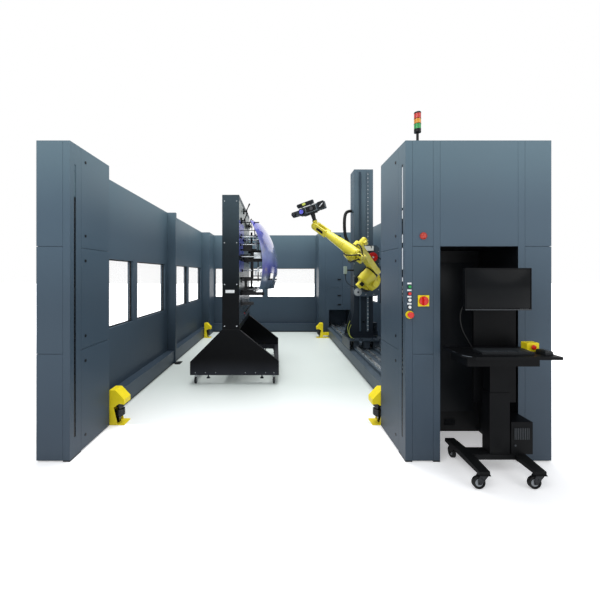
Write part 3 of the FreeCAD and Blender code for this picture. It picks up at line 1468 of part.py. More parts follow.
def trolley_table():
    x0, x1 = table_left, table_left + table_width
    low = table_top - table_thick
    outline = ((x0 + table_corner, table_front, low), (x1, table_front, low), (x1, table_back, low),
               (x0, table_back, low), (x0, table_front + table_corner * 1.6, low))
    top = prism(outline, (0, 0, table_thick))
    y0 = (trolley_beam_front + trolley_beam_back - mast_depth) / 2
    step = mast_wall + mast_gap
    inner = box(mast_left + step, mast_left + mast_width - step, y0 + step, y0 + mast_depth - step,
                mast_top - mast_overlap, low)
    tray = box(tray_box_left, tray_box_left + tray_box_width, tray_box_front, table_back - 60,
               low - tray_box_height, low)
    back = box(back_panel_left, back_panel_left + back_panel_width, table_back, table_back + back_panel_thick,
               back_panel_low, back_panel_high)
    hub_z = screen_low + screen_height / 2
    lug_front = screen_front + screen_thick + 30
    arm = box(screen_centre - tilt_width / 2, screen_centre + tilt_width / 2, lug_front - 12, table_back, hub_z - 34,
              hub_z + 34)
    pin = rod((screen_centre - tilt_width, lug_front - 12, hub_z), (1, 0, 0), tilt_radius, 2 * tilt_width)
    return fused(top, inner, tray, back, arm, pin)


def monitor():
    x0, x1 = screen_centre - screen_width / 2, screen_centre + screen_width / 2
    y0, y1 = screen_front, screen_front + screen_thick
    z0, z1 = screen_low, screen_low + screen_height
    panel = box(x0, x1, y0, y1, z0, z1)
    glass = box(x0 + screen_lip, x1 - screen_lip, y0, y0 + screen_sunk, z0 + 2 * screen_lip, z1 - screen_lip)
    hub_z = (z0 + z1) / 2
    pin_y = y1 + 18
    ears = [box(x, x + 20, y1, pin_y + 24, hub_z - 28, hub_z + 28)
            for x in (screen_centre - tilt_width + 4, screen_centre + tilt_width - 24)]
    bore = rod((screen_centre - tilt_width, pin_y, hub_z), (1, 0, 0), tilt_bore, 2 * tilt_width)
    return fused(panel.cut(glass), *ears).cut(bore)


def input_devices():
    z = table_top
    y0, y1 = keyboard_front, keyboard_front + keyboard_depth
    x0, x1 = keyboard_left, keyboard_left + keyboard_width
    keyboard = prism(((x0, y0, z), (x0, y1, z), (x0, y1, z + keyboard_height * 1.4), (x0, y0, z + keyboard_height)),
                     (keyboard_width, 0, 0))
    mouse = box(mouse_left, mouse_left + mouse_width, mouse_front, mouse_front + mouse_length, z,
                z + mouse_height)
    mouse = mouse.makeFillet(14, [edge for edge in mouse.Edges if edge.BoundBox.ZMin > z + 1])
    return [keyboard, mouse]


box_z = table_top + stop_box_height / 2


def stop_box():
    x0, x1 = stop_box_left, stop_box_left + stop_box_width
    y0, y1 = stop_box_front, stop_box_front + stop_box_depth
    z0, z1 = table_top, table_top + stop_box_height
    shell = box(x0, x1, y0, y1, z0, z1)
    shell = shell.makeChamfer(6, [edge for edge in shell.Edges if abs(edge.tangentAt(0).y) > 0.9])
    return shell.cut(rod(((x0 + x1) / 2, y0, box_z), (0, 1, 0), box_button_stem + box_button_fit,
                         box_button_sink + stop_travel + 1))


nodes = {}


def keep(name, *shapes):
    # Writes one sub-part, moved so that the origin is under the middle of the whole system
    solids = []
    for shape in shapes:
        solids += shape.Solids
    whole = Part.makeCompound([solid.copy() for solid in solids])
    whole.translate(V(0, place_y, 0))
    bad = [index for index, solid in enumerate(whole.Solids) if not solid.isValid()]
    if bad:
        print("not valid:", name, bad)
    nodes[name] = whole
    whole.exportStep("parts/" + name + ".step")


os.makedirs("parts", exist_ok=True)

left_skins, left_panes, left_framing = side_wall()
back_skins, back_panes, back_framing = back_wall()
keep("wall_panels", *left_skins, *[mirrored(shape) for shape in left_skins], *back_skins)
keep("window_panes", *left_panes, *[mirrored(shape) for shape in left_panes], *back_panes)
keep("wall_framing", *left_framing, *[mirrored(shape) for shape in left_framing[:-1]], *back_framing)
keep("entrance_pillar", *entrance_pillar(), rear_pillar())
keep("front_cabinet", *front_cabinet())
keep("rear_cabinet", rear_cabinet())
keep("light_curtains", light_curtain(pillar_face, -1), light_curtain(cabinet_face, 1))
keep("cover_plates", *cover_plates())
keep("locks_and_bezels", *locks_and_bezels())
keep("yellow_plates", *yellow_plates())
keep("warning_dome", warning_dome())
tower, lamps = signal_tower()
keep("signal_tower", *tower)
keep("tower_lamps", *lamps)
hoods, heads = all_scanners()
keep("scanner_hoods", *hoods)
keep("scanner_heads", *heads)
keep("axis_bed", axis_bed())
keep("axis_rails", *axis_rails())
keep("main_switch_knob", switch_knob())
for name, height in zip(("green_button", "red_button", "white_button_upper", "white_button_lower"), button_heights):
    keep(name, *push_button(height))
keep("emergency_stop", mushroom(button_x, 0, stop_height, stop_radius, stop_cap, stop_proud, stop_stem,
                                stop_travel + 1))
keep("axis_carriage", axis_carriage(), *carriage_dress())
keep("column", column(), *lift_rails())
keep("lift_plate", lift_plate())
keep("lift_dress", *lift_dress())
keep("supply_hose", cable(hose_route, hose_radius))
keep("arm_cables", cable(loop_route, cable_radius), cable(lead_route, cable_radius))
keep("robot_base", robot_base())
keep("robot_turret", robot_turret())
keep("upper_arm", upper_arm())
keep("elbow_housing", elbow_housing())
keep("forearm", forearm())
keep("wrist", wrist())
keep("tool_bracket", tool_bracket())
keep("sensor_body", sensor_body())
keep("sensor_lenses", *sensor_lenses())
keep("cart_frame", *cart_frame())
keep("panel_holders", *holders())
keep("body_panel", workpiece())
keep("clamp_lever", clamp_lever())
front_spots, rear_spots = cart_casters()
for side, (x, y) in zip(("left", "right"), front_spots):
    keep("cart_fork_" + side, at(caster_fork(cart_wheel_radius, cart_bottom), x, y))
    keep("cart_wheel_front_" + side, at(caster_wheel(cart_wheel_radius), x, y))
for side, (x, y) in zip(("left", "right"), rear_spots):
    keep("cart_wheel_rear_" + side, at(caster_wheel(cart_wheel_radius), x, y, 180))
keep("trolley_frame", *trolley_frame())
keep("trolley_table", trolley_table())
keep("monitor", monitor())
keep("input_devices", *input_devices())
keep("stop_box", stop_box())
keep("stop_box_button", mushroom(stop_box_left + stop_box_width / 2, stop_box_front, box_z, box_button_radius, 10,
                                 box_button_proud, box_button_stem, -box_button_sink))
front_spots, rear_spots = trolley_casters()
for side, (x, y) in zip(("left", "right"), front_spots):
    keep("trolley_fork_" + side, at(caster_fork(trolley_wheel_radius, trolley_bottom), x, y, -90))
    keep("trolley_wheel_front_" + side, at(caster_wheel(trolley_wheel_radius), x, y, -90))
for side, (x, y) in zip(("left", "right"), rear_spots):
    keep("trolley_wheel_rear_" + side, at(caster_wheel(trolley_wheel_radius), x, y, 180))

whole = Part.makeCompound(list(nodes.values())).BoundBox
print("nodes", len(nodes), "box", [round(value, 1) for value in (whole.XMin, whole.XMax, whole.YMin, whole.YMax,
                                                                 whole.ZMin, whole.ZMax)])
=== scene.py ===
import json
import math
import random

import bmesh
import bpy
from mathutils import Matrix, Vector


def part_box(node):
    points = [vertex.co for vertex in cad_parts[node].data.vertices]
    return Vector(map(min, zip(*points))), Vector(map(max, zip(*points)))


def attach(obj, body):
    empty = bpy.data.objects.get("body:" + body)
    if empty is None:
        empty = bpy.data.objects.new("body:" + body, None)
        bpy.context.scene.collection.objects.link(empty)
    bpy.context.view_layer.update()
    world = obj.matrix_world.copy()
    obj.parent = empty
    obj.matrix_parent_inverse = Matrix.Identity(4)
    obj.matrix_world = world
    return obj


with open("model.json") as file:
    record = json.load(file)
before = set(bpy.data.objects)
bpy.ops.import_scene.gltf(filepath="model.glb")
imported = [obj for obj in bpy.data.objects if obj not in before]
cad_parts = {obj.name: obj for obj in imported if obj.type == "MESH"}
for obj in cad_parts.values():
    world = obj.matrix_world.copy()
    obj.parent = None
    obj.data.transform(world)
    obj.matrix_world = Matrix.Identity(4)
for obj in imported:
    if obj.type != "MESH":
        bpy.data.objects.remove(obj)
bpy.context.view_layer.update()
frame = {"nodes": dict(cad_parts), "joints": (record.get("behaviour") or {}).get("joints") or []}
nodes = frame["nodes"]
joints = {joint["name"]: joint for joint in frame["joints"]}
random.seed(11)
print("frame loaded:", len(nodes), "nodes")


def colour(red, green, blue):
    # eye colours 0-255 to the linear values that the shaders take
    return tuple(((c / 255 + 0.055) / 1.055) ** 2.4 if c > 10 else c / 255 / 12.92
                 for c in (red, green, blue)) + (1,)


def frameAt(origin, alongX, alongZ):
    # local frame as a matrix, from its origin, X way and Z way
    z = Vector(alongZ).normalized()
    x = Vector(alongX).normalized()
    y = z.cross(x)
    place = Matrix((x, y, z)).transposed().to_4x4()
    place.translation = Vector(origin)
    return place


def jointFrame(name, alongX):
    # local frame on a joint: Z along its axis, X near alongX
    z = Vector(joints[name]["axis"]).normalized()
    return frameAt(joints[name]["pos_m"], z.cross(Vector(alongX)).normalized().cross(z), z)


def islands(name):
    # boxes of the separate solids in a CAD node, read from a merged copy of its mesh
    bm = bmesh.new()
    bm.from_mesh(nodes[name].data)
    bmesh.ops.remove_doubles(bm, verts=bm.verts, dist=0.00002)
    seen = set()
    boxes = []
    for start in bm.verts:
        if start.index in seen:
            continue
        seen.add(start.index)
        heap = [start]
        members = []
        while heap:
            vert = heap.pop()
            members.append(vert.co.copy())
            for edge in vert.link_edges:
                other = edge.other_vert(vert)
                if other.index not in seen:
                    seen.add(other.index)
                    heap.append(other)
        low = Vector([min(co[axis] for co in members) for axis in range(3)])
        high = Vector([max(co[axis] for co in members) for axis in range(3)])
        boxes.append((low, high))
    bm.free()
    return boxes


def softBox(bm, low, high, edge=0.0, segments=2, place=None):
    low, high = Vector(low), Vector(high)
    matrix = Matrix.Translation((low + high) / 2) @ Matrix.Diagonal((*(high - low), 1))
    made = bmesh.ops.create_cube(bm, size=1, matrix=matrix)["verts"]
    if edge:
        edges = list({e for vert in made for e in vert.link_edges})
        bevelled = bmesh.ops.bevel(bm, geom=edges, offset=edge, segments=segments, profile=0.5,
                                   affect="EDGES", material=-1)
        made = list({vert for face in bevelled["faces"] for vert in face.verts}
                    | {v for v in made if v.is_valid})
    if place:
        bmesh.ops.transform(bm, matrix=place, verts=made)
    return made


def post(bm, start, direction, radius, length, segments=24, edge=0.0, tip=None):
    # round post or disc from start along direction; tip is the radius at its far end
    direction = Vector(direction).normalized()
    spin = Vector((0, 0, 1)).rotation_difference(direction).to_matrix().to_4x4()
    matrix = Matrix.Translation(Vector(start) + direction * (length / 2)) @ spin
    made = bmesh.ops.create_cone(bm, cap_ends=True, segments=segments, radius1=radius,
                                 radius2=radius if tip is None else tip, depth=length, matrix=matrix)["verts"]
    if edge:
        rims = [e for e in {e for vert in made for e in vert.link_edges}
                if any(len(face.verts) > 4 for face in e.link_faces)]
        bmesh.ops.bevel(bm, geom=rims, offset=edge, segments=2, profile=0.5, affect="EDGES", material=-1)
    return made


def washer(bm, start, direction, outer, inner, height, segments=40):
    # flat ring standing on start, made by a full spin of its section
    direction = Vector(direction).normalized()
    side = direction.orthogonal().normalized()
    lip = min(height, outer - inner) * 0.25
    corners = ((inner, 0), (outer, 0), (outer, height - lip), (outer - lip, height), (inner + lip, height),
               (inner, height - lip))
    verts = [bm.verts.new(Vector(start) + side * across + direction * up) for across, up in corners]
    edges = [bm.edges.new((a, b)) for a, b in zip(verts, verts[1:] + verts[:1])]
    bmesh.ops.spin(bm, geom=verts + edges, cent=Vector(start), axis=direction, angle=math.tau, steps=segments,
                   use_merge=True)


def frameRing(bm, low, high, axis, width):
    # rectangular seal: four bars round an opening
    low, high = Vector(low), Vector(high)
    across = [a for a in range(3) if a != axis]
    for side in range(2):
        for a in across:
            b = [c for c in across if c != a][0]
            lo, hi = low.copy(), high.copy()
            if side:
                lo[a] = high[a] - width
            else:
                hi[a] = low[a] + width
            if a == across[1]:
                lo[b] += width
                hi[b] -= width
            softBox(bm, lo, hi)


def smooth(mesh, degrees=35):
    for polygon in mesh.polygons:
        polygon.use_smooth = True
    mesh.set_sharp_from_angle(angle=math.radians(degrees))


def linked(name, data):
    # new object in the scene's collection
    made = bpy.data.objects.new(name, data)
    bpy.context.scene.collection.objects.link(made)
    return made


def piece(name, bm, material, body, recalc=False):
    if recalc:
        bmesh.ops.remove_doubles(bm, verts=bm.verts, dist=0.00001)
        bmesh.ops.recalc_face_normals(bm, faces=bm.faces)
    mesh = bpy.data.meshes.new(name)
    bm.to_mesh(mesh)
    bm.free()
    smooth(mesh)
    made = linked(name, mesh)
    mesh.materials.append(material)
    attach(made, body)
    return made


def curveMesh(name, runs, detail, radius=0.0):
    # smooth splines as a mesh: round with a radius, bare lines without
    curve = bpy.data.curves.new(name, "CURVE")
    curve.dimensions = "3D"
    curve.bevel_depth = radius
    curve.bevel_resolution = 3
    curve.use_fill_caps = True
    for points in runs:
        spline = curve.splines.new("NURBS")
        spline.points.add(len(points) - 1)
        for target, point in zip(spline.points, points):
            target.co = (*point, 1)
        spline.order_u = 3
        spline.use_endpoint_u = True
        spline.resolution_u = detail
    draft = linked(name + "Draft", curve)
    bpy.context.view_layer.update()
    mesh = bpy.data.meshes.new_from_object(draft.evaluated_get(bpy.context.evaluated_depsgraph_get()))
    bpy.data.objects.remove(draft)
    return mesh


def lead(name, runs, radius, material, body):
    # fixed cables and hoses on the machine
    bm = bmesh.new()
    bm.from_mesh(curveMesh(name, runs, 6, radius))
    return piece(name, bm, material, body, recalc=True)


def jointSpot(name):
    return Vector(joints[name]["pos_m"])


# frames of the arm: X along each link, and the measuring head's own bar
sideWay = Vector(joints["shoulder_swing"]["axis"])
outWay = sideWay.cross(Vector(joints["waist_turn"]["axis"]))
upperWay = (jointSpot("elbow_swing") - jointSpot("shoulder_swing")).normalized()
forearmWay = Vector(joints["forearm_roll"]["axis"])
wristWay = Vector(joints["wrist_swing"]["axis"])
toolWay = Vector(joints["head_roll"]["axis"])
barTilt = Vector((0.895, -0.36, 0.26))
barWay = (barTilt - toolWay * barTilt.dot(toolWay)).normalized()
baseFrame = frameAt(jointSpot("waist_turn"), outWay, joints["waist_turn"]["axis"])
upperFrame = frameAt(jointSpot("shoulder_swing"), upperWay, upperWay.cross(sideWay))
elbowFrame = frameAt(jointSpot("elbow_swing"), forearmWay, forearmWay.cross(sideWay))
forearmFrame = frameAt(jointSpot("forearm_roll"), forearmWay, forearmWay.cross(wristWay))
headFrame = frameAt(jointSpot("wrist_swing") + toolWay * 0.33 - barWay * 0.055, barWay, toolWay)
print("arm frames ready")


def wire(tree, source, target):
    tree.links.new(source, target)


def mathNode(tree, operation, a, b=None, clamp=False):
    node = tree.nodes.new("ShaderNodeMath")
    node.operation = operation
    node.use_clamp = clamp
    for value, socket in ((a, node.inputs[0]), (b, node.inputs[1])):
        if value is None:
            continue
        if isinstance(value, (int, float)):
            socket.default_value = value
        else:
            wire(tree, value, socket)
    return node.outputs[0]


def mixColour(tree, factor, a, b, blend="MIX"):
    node = tree.nodes.new("ShaderNodeMix")
    node.data_type = "RGBA"
    node.blend_type = blend
    for value, socket in ((factor, node.inputs[0]), (a, node.inputs[6]), (b, node.inputs[7])):
        if isinstance(value, (int, float, tuple)):
            socket.default_value = value
        else:
            wire(tree, value, socket)
    return node.outputs[2]


def noise(tree, coords, scale, detail=3, roughness=0.55, stretch=None):
    if stretch:
        mapping = tree.nodes.new("ShaderNodeMapping")
        mapping.inputs["Scale"].default_value = stretch
        wire(tree, coords, mapping.inputs["Vector"])
        coords = mapping.outputs[0]
    node = tree.nodes.new("ShaderNodeTexNoise")
    node.inputs["Scale"].default_value = scale
    node.inputs["Detail"].default_value = detail
    node.inputs["Roughness"].default_value = roughness
    wire(tree, coords, node.inputs["Vector"])
    return node.outputs["Fac"]


def stretchValue(tree, value, fromLow, fromHigh, toLow, toHigh):
    node = tree.nodes.new("ShaderNodeMapRange")
    for number, item in zip((1, 2, 3, 4), (fromLow, fromHigh, toLow, toHigh)):
        node.inputs[number].default_value = item
    wire(tree, value, node.inputs[0])
    return node.outputs[0]


def objectCoords(tree):
    return tree.nodes.new("ShaderNodeTexCoord").outputs["Object"]


def inFrame(tree, coords, place):
    # coordinates as seen from a local frame
    mapping = tree.nodes.new("ShaderNodeMapping")
    mapping.vector_type = "TEXTURE"
    mapping.inputs["Location"].default_value = place.translation
    mapping.inputs["Rotation"].default_value = place.to_euler()
    wire(tree, coords, mapping.inputs["Vector"])
    return mapping.outputs[0]


def axesOf(tree, vector):
    # X, Y and Z of a vector as three sockets
    node = tree.nodes.new("ShaderNodeSeparateXYZ")
    wire(tree, vector, node.inputs[0])
    return node.outputs


def squareSum(tree, a, b):
    return mathNode(tree, "ADD", mathNode(tree, "MULTIPLY", a, a), mathNode(tree, "MULTIPLY", b, b))


def seenPlainly(tree, path):
    # 1 for what the camera sees straight or in a gloss
    return mathNode(tree, "MAXIMUM", path.outputs["Is Camera Ray"], path.outputs["Is Glossy Ray"])


def freshMaterial(name):
    material = bpy.data.materials.new(name)
    material.use_nodes = True
    tree = material.node_tree
    tree.nodes.clear()
    output = tree.nodes.new("ShaderNodeOutputMaterial")
    shader = tree.nodes.new("ShaderNodeBsdfPrincipled")
    wire(tree, shader.outputs[0], output.inputs[0])
    return material, tree, shader


def boxMask(tree, coords, low, high, place=None):
    # 1 inside a box in Object coordinates, or in a local frame
    if place:
        coords = inFrame(tree, coords, place)
    middle = [(a + b) / 2 for a, b in zip(low, high)]
    half = [(b - a) / 2 for a, b in zip(low, high)]
    shift = tree.nodes.new("ShaderNodeVectorMath")
    shift.operation = "SUBTRACT"
    shift.inputs[1].default_value = middle
    wire(tree, coords, shift.inputs[0])
    size = tree.nodes.new("ShaderNodeVectorMath")
    size.operation = "ABSOLUTE"
    wire(tree, shift.outputs[0], size.inputs[0])
    inside = None
    for output, limit in zip(axesOf(tree, size.outputs[0]), half):
        test = mathNode(tree, "LESS_THAN", output, limit)
        inside = test if inside is None else mathNode(tree, "MULTIPLY", inside, test)
    return inside


def finish(name, base, roughness=0.5, metallic=0.0, mottle=0.06, mottleScale=3.0, grain=0.02,
           grainScale=400.0, brushed=None, heights=None, zones=(), coat=0.0, dust=0.0, wear=0.0, streaks=0.0,
           roughSpread=0.08, alpha=1.0, glow=0.0, shine=0.2):
    material, tree, shader = freshMaterial(name)
    coords = objectCoords(tree)
    height = axesOf(tree, coords)[2]
    result = base
    if heights:
        ramp = tree.nodes.new("ShaderNodeValToRGB")
        ramp.color_ramp.interpolation = "EASE"
        stops = ramp.color_ramp.elements
        while len(stops) < len(heights):
            stops.new(0.5)
        for stop, (level, tone) in zip(stops, heights):
            stop.position = level / 4
            stop.color = tone
        wire(tree, mathNode(tree, "DIVIDE", height, 4.0), ramp.inputs[0])
        result = ramp.outputs[0]
    metalMask = None
    for zone in zones:
        mask = boxMask(tree, coords, zone["low"], zone["high"], zone.get("place"))
        result = mixColour(tree, mask, result, zone["tone"])
        if zone.get("metal"):
            metalMask = mask if metalMask is None else mathNode(tree, "MAXIMUM", metalMask, mask)
    cloud = noise(tree, coords, mottleScale, 4)
    fine = noise(tree, coords, grainScale, 2)
    shade = stretchValue(tree, cloud, 0.3, 0.7, 1 - mottle, 1 + mottle)
    result = mixColour(tree, 1.0, result, shade, "MULTIPLY")
    if streaks:
        run = noise(tree, coords, 5.0, 5, 0.6, (1.0, 1.0, 0.12))
        result = mixColour(tree, 1.0, result, stretchValue(tree, run, 0.35, 0.65, 1 - streaks, 1 + streaks),
                           "MULTIPLY")
    if dust:
        low = stretchValue(tree, height, 0.0, 0.45, dust, 0.0)
        low = mathNode(tree, "MULTIPLY", low, stretchValue(tree, cloud, 0.35, 0.65, 0.4, 1.0), True)
        result = mixColour(tree, low, result, colour(150, 152, 150))
    if wear:
        bevel = tree.nodes.new("ShaderNodeNewGeometry").outputs["Pointiness"]
        edge = stretchValue(tree, bevel, 0.51, 0.56, 0.0, wear)
        edge = mathNode(tree, "MULTIPLY", edge, stretchValue(tree, fine, 0.4, 0.6, 0.3, 1.0), True)
        result = mixColour(tree, edge, result, colour(190, 190, 186))
    wire(tree, result, shader.inputs["Base Color"])
    rough = stretchValue(tree, cloud, 0.3, 0.7, max(0.02, roughness - roughSpread),
                         min(1.0, roughness + roughSpread))
    wire(tree, rough, shader.inputs["Roughness"])
    shader.inputs["Metallic"].default_value = metallic
    shader.inputs["Specular IOR Level"].default_value = shine
    if metalMask is not None:
        wire(tree, metalMask, shader.inputs["Metallic"])
    shader.inputs["Coat Weight"].default_value = coat
    shader.inputs["Coat Roughness"].default_value = 0.12
    shader.inputs["Alpha"].default_value = alpha
    if glow:
        wire(tree, result, shader.inputs["Emission Color"])
        shader.inputs["Emission Strength"].default_value = glow
    relief = fine if brushed is None else noise(tree, coords, grainScale, 3, 0.6, brushed)
    bump = tree.nodes.new("ShaderNodeBump")
    bump.inputs["Strength"].default_value = grain * 10
    bump.inputs["Distance"].default_value = 0.0006
    wire(tree, relief, bump.inputs["Height"])
    wire(tree, bump.outputs[0], shader.inputs["Normal"])
    return material


def glassFinish(name, tint, alpha, roughness=0.03):
    material = bpy.data.materials.new(name)
    material.use_nodes = True
    tree = material.node_tree
    shader = tree.nodes["Principled BSDF"]
    smear = noise(tree, objectCoords(tree), 1.8, 4, 0.6)
    result = mixColour(tree, stretchValue(tree, smear, 0.35, 0.65, 0.0, 0.25), tint, colour(255, 255, 255))
    wire(tree, result, shader.inputs["Base Color"])
    wire(tree, stretchValue(tree, smear, 0.3, 0.7, roughness, roughness + 0.05), shader.inputs["Roughness"])
    shader.inputs["Alpha"].default_value = alpha
    return material


def wheelFinish(name, spin, hubRadius, tyre, hub):
    # dark tyre with a pale hub, split by the distance from the axle
    material = finish(name, tyre, roughness=0.6, mottle=0.12, mottleScale=14, grain=0.05, grainScale=260)
    tree = material.node_tree
    shader = next(node for node in tree.nodes if node.type == "BSDF_PRINCIPLED")
    coords = inFrame(tree, objectCoords(tree), jointFrame(spin, (0, 0, 1)))
    across, along = axesOf(tree, coords)[:2]
    inside = mathNode(tree, "LESS_THAN", squareSum(tree, across, along), hubRadius * hubRadius)
    before = shader.inputs["Base Color"].links[0].from_socket
    wire(tree, mixColour(tree, inside, before, hub), shader.inputs["Base Color"])
    return material


def dress(names, material):
    for name in names:
        for slot in nodes[name].material_slots:
            slot.material = material
        if not nodes[name].material_slots:
            nodes[name].data.materials.append(material)


# colour steps by height for the cell paint: lighter towards the top and darker low down, painted light and
# shade from the open top
cellShadeSteps = ((0.0, colour(54, 67, 80)), (1.3, colour(60, 75, 88)), (2.2, colour(74, 92, 106)),
              (3.1, colour(96, 118, 129)))
# the inside of the front cabinet's niche is painted near black: painted shade of the deep recess
niche = dict(low=(1.346, -3.3655, -0.01), high=(2.072, -2.70, 1.9885), tone=colour(17, 19, 22))
toe = dict(low=(-2.5, -4.0, -0.01), high=(2.5, 4.0, 0.013), tone=colour(14, 15, 17))
panelPaint = finish("panelPaint", colour(70, 84, 96), roughness=0.42, mottle=0.035, mottleScale=0.9,
                    grain=0.03, grainScale=300, heights=cellShadeSteps, dust=0.03, zones=(niche, toe),
                    roughSpread=0.06)
wallPaint = finish("wallPaint", colour(66, 80, 92), roughness=0.46, mottle=0.04, mottleScale=0.7, grain=0.03,
                   grainScale=300, heights=cellShadeSteps, dust=0.03, roughSpread=0.06)
dress(["wall_panels"], wallPaint)
dress(["entrance_pillar", "front_cabinet", "rear_cabinet", "cover_plates", "wall_framing"], panelPaint)
dress(["window_panes"], glassFinish("windowGlass", colour(252, 253, 255), 0.05))

stripTop = dict(low=(-2.5, -4.0, 2.46), high=(0.0, 0.0, 3.0), tone=colour(82, 102, 112))
curtainBlack = finish("curtainBlack", colour(12, 13, 15), roughness=0.3, mottle=0.2, mottleScale=30,
                      grain=0.02, zones=(stripTop,), shine=0.1)
dress(["light_curtains"], curtainBlack)
lockSteel = finish("lockSteel", colour(30, 33, 37), roughness=0.35, metallic=0.4, mottle=0.1, mottleScale=60,
                   grain=0.03, grainScale=500)
dress(["locks_and_bezels"], lockSteel)
signalYellow = finish("signalYellow", colour(240, 218, 34), roughness=0.4, mottle=0.05, mottleScale=12,
                      grain=0.03, grainScale=320, dust=0.05)
dress(["yellow_plates", "scanner_hoods", "stop_box"], signalYellow)
dress(["scanner_heads"], finish("scannerBlack", colour(16, 17, 18), roughness=0.28, mottle=0.2,
                                mottleScale=20, grain=0.02, coat=0.4))
dress(["warning_dome"], finish("domePlastic", colour(176, 44, 24), roughness=0.16, mottle=0.12,
                               mottleScale=40, grain=0.01, coat=0.5, glow=0.06))

lampTones = (colour(38, 150, 72), colour(214, 142, 36), colour(190, 42, 34))
lampLow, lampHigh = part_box("tower_lamps")
lampStep = (lampHigh.z - lampLow.z) / 3
lampZones = [dict(low=(lampLow.x - 0.01, lampLow.y - 0.01, lampLow.z + lampStep * step),
                  high=(lampHigh.x + 0.01, lampHigh.y + 0.01, lampLow.z + lampStep * (step + 1)), tone=tone)
             for step, tone in enumerate(lampTones)]
dress(["tower_lamps"], finish("lampPlastic", lampTones[0], roughness=0.14, mottle=0.18, mottleScale=45,
                              grain=0.02, grainScale=160, zones=lampZones, coat=0.6, glow=0.05))
dress(["signal_tower"], finish("towerBlack", colour(20, 21, 23), roughness=0.35, mottle=0.15, mottleScale=25))

bedPaint = finish("bedPaint", colour(64, 77, 88), roughness=0.45, mottle=0.08, mottleScale=2.5, grain=0.04,
                  grainScale=260, streaks=0.06, dust=0.12)
dress(["axis_bed"], bedPaint)
brushed = finish("railSteel", colour(196, 202, 206), roughness=0.26, metallic=0.9, mottle=0.08, mottleScale=6,
                 grain=0.06, grainScale=140, brushed=(60, 0.6, 60))
dress(["axis_rails"], brushed)
# colour steps by height for the column: near black below the robot and lighter towards the top, painted shade
# and light
columnShadeSteps = ((0.0, colour(26, 31, 38)), (1.5, colour(40, 49, 58)), (2.1, colour(66, 80, 92)),
               (3.4, colour(92, 109, 120)))
columnLow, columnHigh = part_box("column")
columnRails = [dict(low=(x - 0.019, columnLow.y - 0.01, 0.5), high=(x + 0.019, columnLow.y + 0.029, 3.9),
                    tone=tone)
               for x, tone in ((1.569, colour(58, 71, 82)), (1.725, colour(92, 106, 116)))]
dress(["column"], finish("columnPaint", colour(70, 84, 96), shine=0.06, roughness=0.55, mottle=0.06,
                         mottleScale=2, grain=0.03, heights=columnShadeSteps, zones=columnRails))
dress(["axis_carriage"], finish("carriagePaint", colour(46, 56, 65), roughness=0.42, mottle=0.08,
                                mottleScale=4, grain=0.04, grainScale=260, dust=0.15))
dress(["lift_plate"], finish("liftPaint", colour(66, 80, 92), roughness=0.4, mottle=0.07, mottleScale=5,
                             grain=0.03))
dressTones = (dict(low=(1.66, 0.16, 1.97), high=(1.90, 0.285, 2.20), tone=colour(196, 36, 34)),
              dict(low=(1.585, 0.2, 2.205), high=(1.82, 0.33, 2.33), tone=colour(222, 226, 228)),
              dict(low=(1.22, 0.1, 2.22), high=(1.45, 0.36, 2.32), tone=colour(30, 33, 37)))
dress(["lift_dress"], finish("dressGrey", colour(176, 182, 186), roughness=0.4, mottle=0.06, mottleScale=12,
                             grain=0.03, zones=dressTones))

robotYellow = finish("robotYellow", colour(224, 210, 62), roughness=0.3, mottle=0.09, mottleScale=5,
                     grain=0.035, grainScale=240, coat=0.35, roughSpread=0.1)
dress(["robot_turret", "upper_arm", "elbow_housing", "forearm", "wrist"], robotYellow)
basePaint = finish("baseCasting", colour(38, 42, 46), roughness=0.45, mottle=0.12, mottleScale=8, grain=0.06,
                   grainScale=180)
dress(["robot_base"], basePaint)
hoseRubber = finish("hoseRubber", colour(20, 21, 22), roughness=0.5, mottle=0.15, mottleScale=20, grain=0.05)
dress(["supply_hose", "arm_cables"], hoseRubber)
dress(["tool_bracket"], finish("bracketBlack", colour(24, 26, 28), roughness=0.4, mottle=0.12,
                               mottleScale=20))
headGrey = finish("headGrey", colour(54, 62, 68), roughness=0.38, mottle=0.08, mottleScale=14, grain=0.05,
                  grainScale=420, roughSpread=0.08)
dress(["sensor_body"], headGrey)
projector = dict(low=(-0.185, -0.3, -0.07), high=(-0.06, 0.3, 0.07), tone=colour(86, 88, 226),
                 place=headFrame)
dress(["sensor_lenses"], finish("lensGlass", colour(24, 26, 34), roughness=0.04, mottle=0.4, mottleScale=26,
                                grain=0.0, coat=1.0, zones=(projector,), shine=0.5))

# colour steps by height for the black cart: lighter at the floor and towards the top, darkest in between,
# painted light and shade
cartShadeSteps = ((0.0, colour(50, 52, 60)), (0.42, colour(12, 13, 15)), (1.3, colour(18, 20, 22)),
             (2.0, colour(34, 41, 46)), (2.9, colour(66, 79, 86)))
# the +X face of the upright: a grey-green plate tone, a blue patch that is a painted reflection, and a darker
# tone below 1.5 m
sideSkin = dict(low=(-0.7585, -1.2, 0.92), high=(-0.7485, 0.78, 2.92))
cartSide = (dict(sideSkin, tone=colour(128, 140, 138)),
            dict(sideSkin, low=(-0.7585, -1.2, 1.78), high=(-0.7485, -0.45, 2.60), tone=colour(98, 106, 196)),
            dict(sideSkin, high=(-0.7485, 0.78, 1.50), tone=colour(66, 74, 84)))
dress(["cart_frame"], finish("cartBlack", colour(32, 35, 40), shine=0.05, roughness=0.4, mottle=0.08,
                             mottleScale=3, grain=0.04, grainScale=300, heights=cartShadeSteps, dust=0.04))
dress(["panel_holders"], finish("holderBlack", colour(24, 26, 29), roughness=0.3, mottle=0.15, mottleScale=12,
                                grain=0.04, zones=cartSide))
